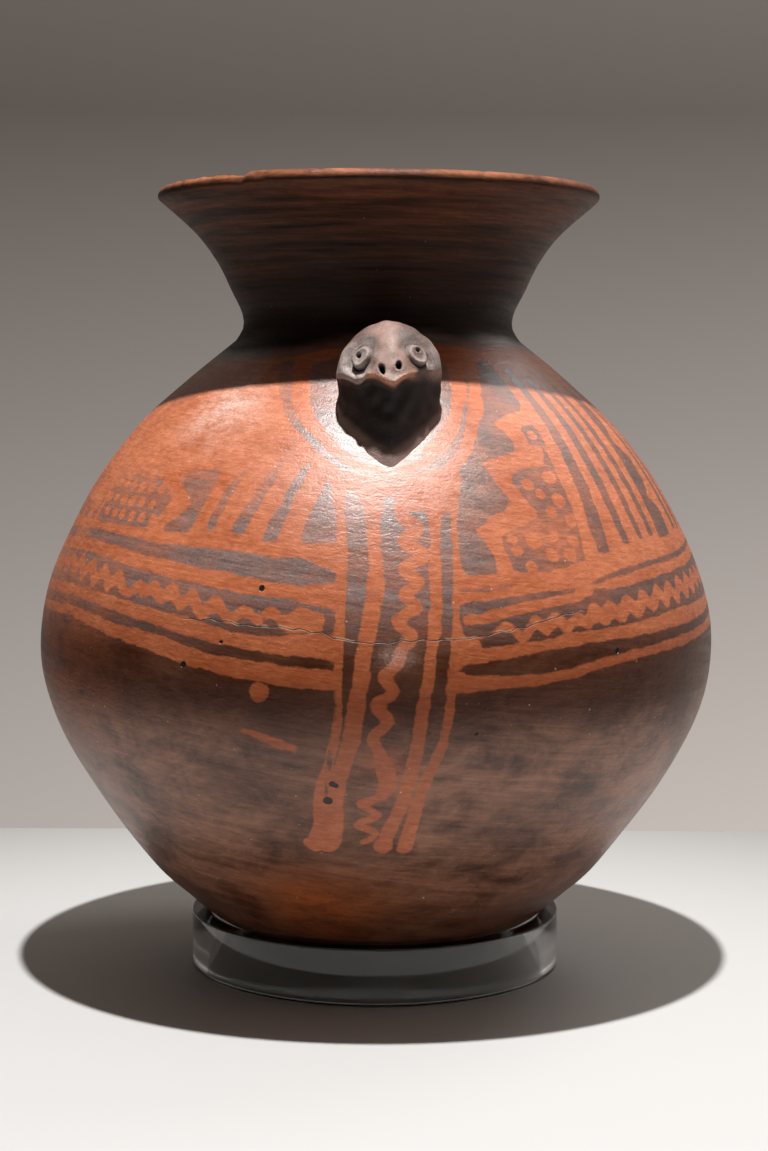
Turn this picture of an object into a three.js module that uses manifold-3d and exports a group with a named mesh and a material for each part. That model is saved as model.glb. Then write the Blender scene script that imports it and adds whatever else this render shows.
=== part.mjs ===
// A hand-built pottery jar, round below and flared at the mouth, with a small animal head on its
// shoulder, standing in the clear ring that keeps its round base upright.
// Millimetres, +Z up, the origin on the floor under the middle of the ring. The head looks along -Y.
import * as THREE from "three";
import { mergeVertices } from "three/addons/utils/BufferGeometryUtils.js";
import Module from "manifold-3d";

const wasm = await Module();
wasm.setup();

// Driving dimensions
const HEIGHT = 266;
const BELLY_R = 115;
const BELLY_Z = 112;
const WAIST_R = 46;
const WAIST_Z = 219.5;
const RIM_R = 75.2;
const BASE_Z = 7.4;
const WALL = 6.5;
const NECK_WALL = 5.4;
const LIP_R = 2.6;
const SEGMENTS = 56;

const RING_R = 63.5;
const RING_WALL = 6.2;
const RING_H = 19;
const RING_CHAMFER = 0.5;
const REST_GAP = 0.3;

// The head: where its axis stands on the shoulder, and its reach from that axis
const HEAD_AZIMUTH = THREE.MathUtils.degToRad(2.7);
const HEAD_R = 79;
const JAW_Z = 199;
const CROWN_Z = 218.7;
const HEAD_W = 16.4;
const BEAK_REACH = 17.3;
const BEAK_POWER = 1.55;
const THROAT_REACH = 13;
const THROAT_POWER = 1.25;
const UNDERCUT = 2.4;
const HEAD_BACK = 19;
const THROAT_Z = 168;
const EYE_SPREAD = 9;
const EYE_Z = 208.2;
const EYE_R = 2.9;
const EYE_RISE = 1.2;
const EYE_GROOVE_R = 3.3;
const EYE_GROOVE_W = 1.2;
const PUPIL_R = 0.85;
const NOSTRIL_SPREAD = 2.4;
const NOSTRIL_Z = 205;
const NOSTRIL_R = 0.95;
const PIT_DEPTH = 4;

// The flake lost from the rim
const CHIP_AZIMUTH = THREE.MathUtils.degToRad(-33.5);
const CHIP_R = 9;
const CHIP_DEPTH = 1.7;

// The outside of the body, from the middle of the base to the foot of the neck
function bodyCurve() {
  return new THREE.SplineCurve([
    new THREE.Vector2(0, BASE_Z),
    new THREE.Vector2(20, BASE_Z + 1.1),
    new THREE.Vector2(39, BASE_Z + 4.6),
    new THREE.Vector2(50, BASE_Z + 8.2),
    new THREE.Vector2(RING_R - RING_WALL, RING_H + REST_GAP + 0.2),
    new THREE.Vector2(66.4, 27.2),
    new THREE.Vector2(78.5, 38.5),
    new THREE.Vector2(98, 65.3),
    new THREE.Vector2(110.7, 89.5),
    new THREE.Vector2(BELLY_R, BELLY_Z),
    new THREE.Vector2(111.4, 134.7),
    new THREE.Vector2(98.9, 162),
    new THREE.Vector2(82.6, 184.6),
    new THREE.Vector2(65.4, 201.1),
    new THREE.Vector2(WAIST_R + 2.4, WAIST_Z - 4.5),
  ]);
}

// The outside of the neck, from just over its foot to the underside of the lip
function neckCurve() {
  return new THREE.SplineCurve([
    new THREE.Vector2(WAIST_R, WAIST_Z),
    new THREE.Vector2(WAIST_R + 0.9, 224.5),
    new THREE.Vector2(WAIST_R + 4.4, 231.5),
    new THREE.Vector2(WAIST_R + 9, 241),
    new THREE.Vector2(WAIST_R + 16.2, 250.8),
    new THREE.Vector2(RIM_R - LIP_R * (1 - Math.SQRT1_2), HEIGHT - LIP_R * (1 + Math.SQRT1_2)),
  ]);
}

// Points of a curve, closer together where `spacing` is small
function samples(curve, spacing) {
  const count = Math.max(2, Math.round(curve.getLength() / spacing));
  return curve.getSpacedPoints(count);
}

// An outline moved inwards by a thickness that may change along it
function offset(points, thickness) {
  return points.map((p, i) => {
    const before = points[Math.max(0, i - 1)];
    const after = points[Math.min(points.length - 1, i + 1)];
    const along = after.clone().sub(before).normalize();
    const t = thickness(p);
    return new THREE.Vector2(p.x - along.y * t, p.y + along.x * t);
  });
}

// The closed outline of the wall: up the outside, round the lip and down the inside
function wallOutline() {
  const body = samples(bodyCurve(), 10.5);
  const neck = samples(neckCurve(), 6.5);
  const lipCentre = new THREE.Vector2(RIM_R - LIP_R, HEIGHT - LIP_R);
  const lip = [0, 1, 2, 3].map((i) => {
    const turn = THREE.MathUtils.degToRad(i * 45);
    return new THREE.Vector2(LIP_R * Math.cos(turn), LIP_R * Math.sin(turn)).add(lipCentre);
  });
  const inside = innerSide((p) => (p.y < WAIST_Z - 6 ? WALL : NECK_WALL)).reverse();
  return [...body, ...neck, ...lip, ...inside];
}

// The inner face of the wall, from the middle of the base up to the lip
function innerSide(thickness) {
  const outside = [...samples(bodyCurve(), 17), ...samples(neckCurve(), 8).slice(0, -1)];
  const inside = offset(outside, thickness);
  inside[0].x = 0;
  return inside;
}

// The middle of the wall and all that lies within it
function wallCore() {
  const inside = innerSide(() => WALL / 2);
  return solid(turned([...inside, new THREE.Vector2(0, inside.at(-1).y)], SEGMENTS));
}

// A three.js geometry as a closed solid, without the slivers that fold up at a pole
function solid(geometry) {
  const bare = geometry.clone();
  bare.deleteAttribute("normal");
  bare.deleteAttribute("uv");
  const merged = mergeVertices(bare, 1e-4);
  const index = merged.index.array;
  const kept = [];
  for (let i = 0; i < index.length; i += 3) {
    const [a, b, c] = [index[i], index[i + 1], index[i + 2]];
    if (a !== b && b !== c && c !== a) kept.push(a, b, c);
  }
  return new wasm.Manifold(
    new wasm.Mesh({
      numProp: 3,
      vertProperties: new Float32Array(merged.attributes.position.array),
      triVerts: new Uint32Array(kept),
    }),
  );
}

function geometryOf(made) {
  const mesh = made.getMesh();
  const geometry = new THREE.BufferGeometry();
  geometry.setAttribute("position", new THREE.BufferAttribute(mesh.vertProperties, 3));
  geometry.setIndex(new THREE.BufferAttribute(mesh.triVerts, 1));
  geometry.computeVertexNormals();
  return geometry;
}

// A form turned on the Z axis
function turned(outline, segments) {
  return new THREE.LatheGeometry(outline, segments).rotateX(Math.PI / 2);
}

// Half-width, reach to the front and back, and roundness in plan, of the head at a height
function headSection(z) {
  const mix = THREE.MathUtils.lerp;
  if (z >= JAW_Z) {
    const t = Math.min(1, (z - JAW_Z) / (CROWN_Z - JAW_Z));
    return {
      width: HEAD_W * Math.sqrt(1 - t ** 2),
      front: BEAK_REACH * (1 - t ** 1.25) ** 0.85,
      back: HEAD_BACK * Math.sqrt(1 - t ** 2),
      power: mix(BEAK_POWER, 2, t),
    };
  }
  const under = Math.min(1, (JAW_Z - z) / UNDERCUT);
  return {
    width: HEAD_W * (1 - 0.02 * under),
    front: mix(BEAK_REACH, THROAT_REACH, under),
    back: HEAD_BACK,
    power: mix(BEAK_POWER, THROAT_POWER, under),
  };
}

// One level of the head: pointed in front like a beak, round behind
function headLevel(z, sides) {
  const { width, front, back, power } = headSection(z);
  return Array.from({ length: sides }, (_, i) => {
    const turn = (i / sides) * 2 * Math.PI;
    const [side, ahead] = [Math.sin(turn), Math.cos(turn)];
    const bend = ahead > 0 ? 2 / power : 1;
    const x = width * Math.sign(side) * Math.abs(side) ** bend;
    const y = -(ahead > 0 ? front : -back) * Math.abs(ahead) ** bend;
    return new THREE.Vector3(x, y - HEAD_R, z);
  });
}

// A closed skin over a stack of levels, from the lowest to the highest
function loft(levels) {
  const sides = levels[0].length;
  const points = levels.flat();
  const faces = [];
  for (let k = 0; k + 1 < levels.length; k++) {
    for (let i = 0; i < sides; i++) {
      const [a, b] = [k * sides + i, k * sides + ((i + 1) % sides)];
      faces.push(a, b, b + sides, a, b + sides, a + sides);
    }
  }
  for (const [level, top] of [[0, false], [levels.length - 1, true]]) {
    const middle = levels[level].reduce((sum, p) => sum.add(p), new THREE.Vector3());
    const hub = points.push(middle.divideScalar(sides)) - 1;
    for (let i = 0; i < sides; i++) {
      const [a, b] = [level * sides + i, level * sides + ((i + 1) % sides)];
      if (top) faces.push(hub, a, b);
      else faces.push(hub, b, a);
    }
  }
  return new THREE.BufferGeometry().setFromPoints(points).setIndex(faces);
}

// How far the face stands before the head's axis at a place on it
function faceReach(x, z) {
  const { width, front, power } = headSection(z);
  return front * Math.max(0, 1 - (Math.abs(x) / width) ** power) ** (1 / power);
}

// A place on the face, and the way the face looks there
function faceAt(x, z) {
  const step = 0.4;
  const across = (faceReach(x + step, z) - faceReach(x - step, z)) / (2 * step);
  const up = (faceReach(x, z + step) - faceReach(x, z - step)) / (2 * step);
  return {
    place: new THREE.Vector3(x, -HEAD_R - faceReach(x, z), z),
    facing: new THREE.Vector3(-across, -1, -up).normalize(),
  };
}

// A geometry that looks along +Z, moved to a place on the face and turned to its facing
function onFace(geometry, { place, facing }, depth = 0) {
  const turn = new THREE.Quaternion().setFromUnitVectors(new THREE.Vector3(0, 0, 1), facing);
  const at = place.clone().addScaledVector(facing, -depth);
  return geometry.applyQuaternion(turn).translate(at.x, at.y, at.z);
}

// A hole punched with a pointed stick
function punch(radius, spot) {
  const stick = new THREE.CylinderGeometry(radius, radius / 2, 2 * PIT_DEPTH, 10);
  return solid(onFace(stick.rotateX(Math.PI / 2), spot));
}

function headSolid() {
  const sides = 24;
  const lower = [THROAT_Z, 184, JAW_Z - UNDERCUT, JAW_Z - UNDERCUT / 2];
  const upper = [0, 0.12, 0.28, 0.45, 0.62, 0.78, 0.9, 0.97].map((t) => JAW_Z + t * (CROWN_Z - JAW_Z));
  let head = solid(loft([...lower, ...upper].map((z) => headLevel(z, sides))));
  for (const side of [-1, 1]) {
    const eye = faceAt(side * EYE_SPREAD, EYE_Z);
    const groove = new THREE.TorusGeometry(EYE_GROOVE_R, EYE_GROOVE_W / 2, 6, 16);
    const ball = new THREE.SphereGeometry(EYE_R, 14, 8);
    head = head.subtract(solid(onFace(groove, eye)));
    head = head.add(solid(onFace(ball, eye, EYE_R - EYE_RISE)));
    head = head.subtract(punch(PUPIL_R, eye));
    head = head.subtract(punch(NOSTRIL_R, faceAt(side * NOSTRIL_SPREAD, NOSTRIL_Z)));
  }
  return head.rotate([0, 0, THREE.MathUtils.radToDeg(HEAD_AZIMUTH)]);
}

// The missing flake, as a ball that bites into the lip
function chipSolid() {
  const reach = RIM_R - LIP_R;
  const ball = new THREE.IcosahedronGeometry(CHIP_R, 2);
  ball.translate(
    reach * Math.sin(CHIP_AZIMUTH),
    -reach * Math.cos(CHIP_AZIMUTH),
    HEIGHT + CHIP_R - CHIP_DEPTH,
  );
  return solid(ball);
}

// The head is rooted half-way into the wall, so the inner face stays whole
function vesselSolid() {
  const wall = solid(turned(wallOutline(), SEGMENTS));
  return wall.add(headSolid().subtract(wallCore())).subtract(chipSolid());
}

function ringOutline() {
  const [inner, c] = [RING_R - RING_WALL, RING_CHAMFER];
  const corners = [
    [inner + c, 0],
    [RING_R - c, 0],
    [RING_R, c],
    [RING_R, RING_H - c],
    [RING_R - c, RING_H],
    [inner + c, RING_H],
    [inner, RING_H - c],
    [inner, c],
    [inner + c, 0],
  ];
  return corners.map(([r, z]) => new THREE.Vector2(r, z));
}

const clay = new THREE.MeshStandardMaterial({ color: "#8a4a31", roughness: 0.42, metalness: 0 });
const acrylic = new THREE.MeshStandardMaterial({
  color: "#eef3f4",
  roughness: 0.08,
  metalness: 0,
  transparent: true,
  opacity: 0.35,
});

function namedMesh(name, made, material) {
  const mesh = new THREE.Mesh(geometryOf(made), material);
  mesh.name = name;
  return mesh;
}

const group = new THREE.Group();
group.add(namedMesh("vessel", vesselSolid(), clay));
group.add(namedMesh("display_ring", solid(turned(ringOutline(), SEGMENTS)), acrylic));

export default group;
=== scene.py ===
"""Looks of a burnished, resist-painted pottery bottle with a small animal head, in its clear stand.

Metres, +Z up, the origin on the floor under the middle of the stand. The head looks along -Y.
Sizes inside the classes are in millimetres; meshes are brought to metres when they are made.
"""

import logging
import math
from dataclasses import dataclass, field
from enum import Enum
from typing import Any, Callable, Dict, List, Sequence, Tuple

import bpy
import numpy as np
from mathutils import Matrix, Vector


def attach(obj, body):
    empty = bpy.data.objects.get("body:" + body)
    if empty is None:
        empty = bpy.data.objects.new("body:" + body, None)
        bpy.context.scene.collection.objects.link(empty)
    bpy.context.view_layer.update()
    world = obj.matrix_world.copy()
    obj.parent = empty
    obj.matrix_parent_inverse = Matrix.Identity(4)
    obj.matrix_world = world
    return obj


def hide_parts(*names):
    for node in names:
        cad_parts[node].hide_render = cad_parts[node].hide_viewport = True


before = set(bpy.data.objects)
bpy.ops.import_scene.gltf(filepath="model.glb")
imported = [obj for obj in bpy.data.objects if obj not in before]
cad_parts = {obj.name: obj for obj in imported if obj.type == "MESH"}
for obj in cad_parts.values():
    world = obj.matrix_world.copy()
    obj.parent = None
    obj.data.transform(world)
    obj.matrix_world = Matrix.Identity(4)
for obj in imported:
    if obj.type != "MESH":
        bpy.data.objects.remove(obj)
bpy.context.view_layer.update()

LOG = logging.getLogger("pottery_bottle")
MM = 0.001
REACH = 6.0  # how far from a mark's edge, in millimetres, its distance is still kept

Points = Sequence[Tuple[float, ...]]
Array = np.ndarray


# Curves and mesh helpers


def smooth_path(points: Points, pieces: int) -> Array:
    """Runs a soft curve through a few given points.

    Args:
        points: The points, each with any number of values (place, width and so on).
        pieces: How many short straight pieces each stretch is drawn with.

    Returns:
        The points of the drawn curve, one row each.
    """
    given = np.array(points, float)
    last = len(given) - 1
    drawn: List[Array] = []
    for i in range(last):
        p0, p1, p2, p3 = (given[min(max(i + k, 0), last)] for k in (-1, 0, 1, 2))
        for t in np.linspace(0.0, 1.0, pieces, endpoint=False):
            bend = (2 * p0 - 5 * p1 + 4 * p2 - p3) * t**2
            drawn.append(0.5 * (2 * p1 + (p2 - p0) * t + bend + (3 * p1 - p0 - 3 * p2 + p3) * t**3))
    drawn.append(given[-1])
    return np.array(drawn)


def respaced(path: Array, spacing: Callable[[Array], float]) -> Array:
    """Walks along a path and sets points at a spacing that may change on the way.

    Args:
        path: Points of the path.
        spacing: Gives the wished spacing at a point.

    Returns:
        The newly spaced points, with the path's own first and last ones.
    """
    steps = np.linalg.norm(np.diff(path, axis=0), axis=1)
    along = np.concatenate([[0.0], np.cumsum(steps)])
    density = np.array([1.0 / spacing(p) for p in path])
    weight = np.concatenate([[0.0], np.cumsum(steps * 0.5 * (density[1:] + density[:-1]))])
    count = max(2, int(round(weight[-1])))
    places = np.interp(np.linspace(0.0, weight[-1], count + 1), weight, along)
    return np.stack([np.interp(places, along, path[:, k]) for k in range(path.shape[1])], 1)


def soft_step(x: Any, low: float, high: float) -> Any:
    """Goes smoothly from 0 at `low` to 1 at `high`."""
    t = np.clip((x - low) / (high - low), 0.0, 1.0)
    return t * t * (3.0 - 2.0 * t)


def ridge(x: Array, middle: float, width: float) -> Array:
    """A soft ridge, 1 at its middle."""
    return np.exp(-(((x - middle) / width) ** 2))


def blot(x: Array, y: Array, middle: Tuple[float, float], size: Tuple[float, float]) -> Array:
    """A soft-edged spot, 1 at its middle."""
    return np.exp(-(((x - middle[0]) / size[0]) ** 2) - ((y - middle[1]) / size[1]) ** 2)


def off_from(turn: Array, middle: float) -> Array:
    """How far round the axis a turn lies from another one, in degrees, from -180 to 180."""
    return (turn - middle + 180) % 360 - 180


def hand_wobble(turn: Array, height: Array, seed: int, waves: int = 9) -> Array:
    """Slow unevenness of a form shaped by hand, the same all the way round where it joins.

    Args:
        turn: Angle round the axis, in radians.
        height: Place along the form, in millimetres.
        seed: Picks one unevenness out of many.
        waves: How many waves are laid over each other.

    Returns:
        A value of about -1 to 1 for each place.
    """
    dice = np.random.default_rng(seed)
    total = np.zeros_like(turn)
    for _ in range(waves):
        lobes = dice.integers(1, 8)
        length = dice.uniform(22.0, 90.0)
        phase, shift = dice.uniform(0.0, 2.0 * math.pi, 2)
        total += np.sin(lobes * turn + phase) * np.sin(2 * math.pi * height / length + shift)
    return total / math.sqrt(waves)


def start_clean() -> None:
    """Leaves edit mode and deselects everything, so that an operator acts on its own piece only."""
    if bpy.context.mode != "OBJECT":
        bpy.ops.object.mode_set(mode="OBJECT")
    bpy.ops.object.select_all(action="DESELECT")


def pick(piece: bpy.types.Object) -> None:
    """Makes one piece the only one that operators act on."""
    start_clean()
    piece.select_set(True)
    bpy.context.view_layer.objects.active = piece


def coordinates(piece: bpy.types.Object) -> Array:
    """The piece's vertex places in millimetres."""
    flat = np.empty(len(piece.data.vertices) * 3)
    piece.data.vertices.foreach_get("co", flat)
    return flat.reshape(-1, 3) / MM


def set_coordinates(piece: bpy.types.Object, places: Array) -> None:
    """Moves the piece's vertices to places given in millimetres."""
    piece.data.vertices.foreach_set("co", (places * MM).ravel())
    piece.data.update()


def store(piece: bpy.types.Object, name: str, values: Array) -> None:
    """Keeps three values per vertex on the piece, for its material to read."""
    layer = piece.data.attributes.new(name, "FLOAT_VECTOR", "POINT")
    layer.data.foreach_set("vector", values.astype(np.float32).ravel())


def turned_piece(name: str, outline: Array, steps: int) -> bpy.types.Object:
    """Spins an outline round the Z axis into a closed form.

    Args:
        name: The new piece's name.
        outline: (radius, height) points in millimetres, from axis to axis or closed on itself.
        steps: Steps of the full turn.

    Returns:
        The new piece, its poles and seam merged and its faces pointing outwards.
    """
    start_clean()
    ring = np.zeros((len(outline), 3))
    ring[:, 1] = -outline[:, 0]
    ring[:, 2] = outline[:, 1]
    mesh = bpy.data.meshes.new(name)
    mesh.from_pydata((ring * MM).tolist(), [(i, i + 1) for i in range(len(outline) - 1)], [])
    piece = bpy.data.objects.new(name, mesh)
    bpy.context.scene.collection.objects.link(piece)
    pick(piece)
    bpy.ops.object.mode_set(mode="EDIT")
    bpy.ops.mesh.select_all(action="SELECT")
    bpy.ops.mesh.spin(steps=steps, angle=2 * math.pi, center=(0, 0, 0), axis=(0, 0, 1))
    bpy.ops.mesh.select_all(action="SELECT")
    bpy.ops.mesh.remove_doubles(threshold=2e-6)
    bpy.ops.mesh.normals_make_consistent(inside=False)
    bpy.ops.object.mode_set(mode="OBJECT")
    bpy.ops.object.shade_smooth()
    return piece


# Materials


def srgb(code: str) -> Tuple[float, float, float, float]:
    """Turns a colour as seen on a screen, such as B4633C, to the linear values a shader mixes."""
    parts = [int(code[i : i + 2], 16) / 255.0 for i in (0, 2, 4)]
    linear = [c / 12.92 if c <= 0.04045 else ((c + 0.055) / 1.055) ** 2.4 for c in parts]
    return (linear[0], linear[1], linear[2], 1.0)


@dataclass
class Graph:
    """The nodes of one material."""

    tree: bpy.types.NodeTree

    def add(self, kind: str, *values: Any, out: Any = 0, **named: Any) -> Any:
        """Adds a node with its settings, values and links.

        Args:
            kind: The node's kind, without the word ShaderNode in front.
            values: For each input in order, its value or the socket that feeds it.
            out: Name or number of the output to hand back, or "node" for the node itself.
            named: With a capital, an input by its name, an underscore standing for a space;
                without one, a property of the node.

        Returns:
            The chosen output socket, or the node.
        """
        node = self.tree.nodes.new("ShaderNode" + kind)
        feeds: Dict[Any, Any] = dict(enumerate(values))
        for key, value in named.items():
            if key[0].isupper():
                feeds[key.replace("_", " ")] = value
            else:
                setattr(node, key, value)
        for key, value in feeds.items():
            socket = node.inputs[key]
            if isinstance(value, bpy.types.NodeSocket):
                self.tree.links.new(value, socket)
            else:
                socket.default_value = value
        return node if out == "node" else node.outputs[out]

    def stored(self, name: str) -> Any:
        """The three values kept on the piece under a name, as outputs called X, Y and Z."""
        values = self.add("Attribute", attribute_name=name, out="Vector")
        return self.add("SeparateXYZ", values, out="node").outputs


def new_graph(name: str) -> Tuple[bpy.types.Material, Graph]:
    """Starts an empty material."""
    material = bpy.data.materials.new(name)
    material.use_nodes = True
    material.node_tree.nodes.clear()
    return material, Graph(material.node_tree)


# The painting


class Ground(Enum):
    """Which way a mark of the painting turns the slip."""

    SMOKED = "smoked"
    RESERVED = "reserved"
    LATE = "late"


@dataclass(frozen=True)
class Mark:
    """One mark of the painting, in degrees round the bottle and millimetres of height.

    A stroke has a third value per point, half its width in millimetres; a patch has two values.
    """

    ground: Ground
    channel: int
    points: Points
    curved: bool = False

    @property
    def is_stroke(self) -> bool:
        """Whether the mark is drawn along a line and not filled in."""
        return len(self.points[0]) == 3


def smoked(channel: int, *points: Tuple[float, float], curved: bool = False) -> Mark:
    """A darkened patch with the given outline."""
    return Mark(Ground.SMOKED, channel, points, curved)


def dark_line(channel: int, *points: Tuple[float, float, float]) -> Mark:
    """A darkened line."""
    return Mark(Ground.SMOKED, channel, points, True)


def reserved(channel: int, *points: Tuple[float, float, float]) -> Mark:
    """A red line kept free of smoke."""
    return Mark(Ground.RESERVED, channel, points, True)


def red_teeth(channel: int, *points: Tuple[float, float, float]) -> Mark:
    """A red zigzag with sharp notches, kept free of smoke."""
    sharp = [points[0]]
    for before, here, after in zip(points, points[1:], points[2:]):
        sharper = here[1] + 0.38 * (here[1] - (before[1] + after[1]) / 2)
        sharp.append((here[0], sharper, max(0.4, here[2] - 0.35)))
    return Mark(Ground.RESERVED, channel, (*sharp, points[-1]))


def dot(channel: int, turn: float, height: float, radius: float, ground: Ground = Ground.RESERVED) -> Mark:
    """A round dot."""
    return Mark(ground, channel, ((turn, height, radius), (turn + 0.02, height, radius)))


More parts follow.
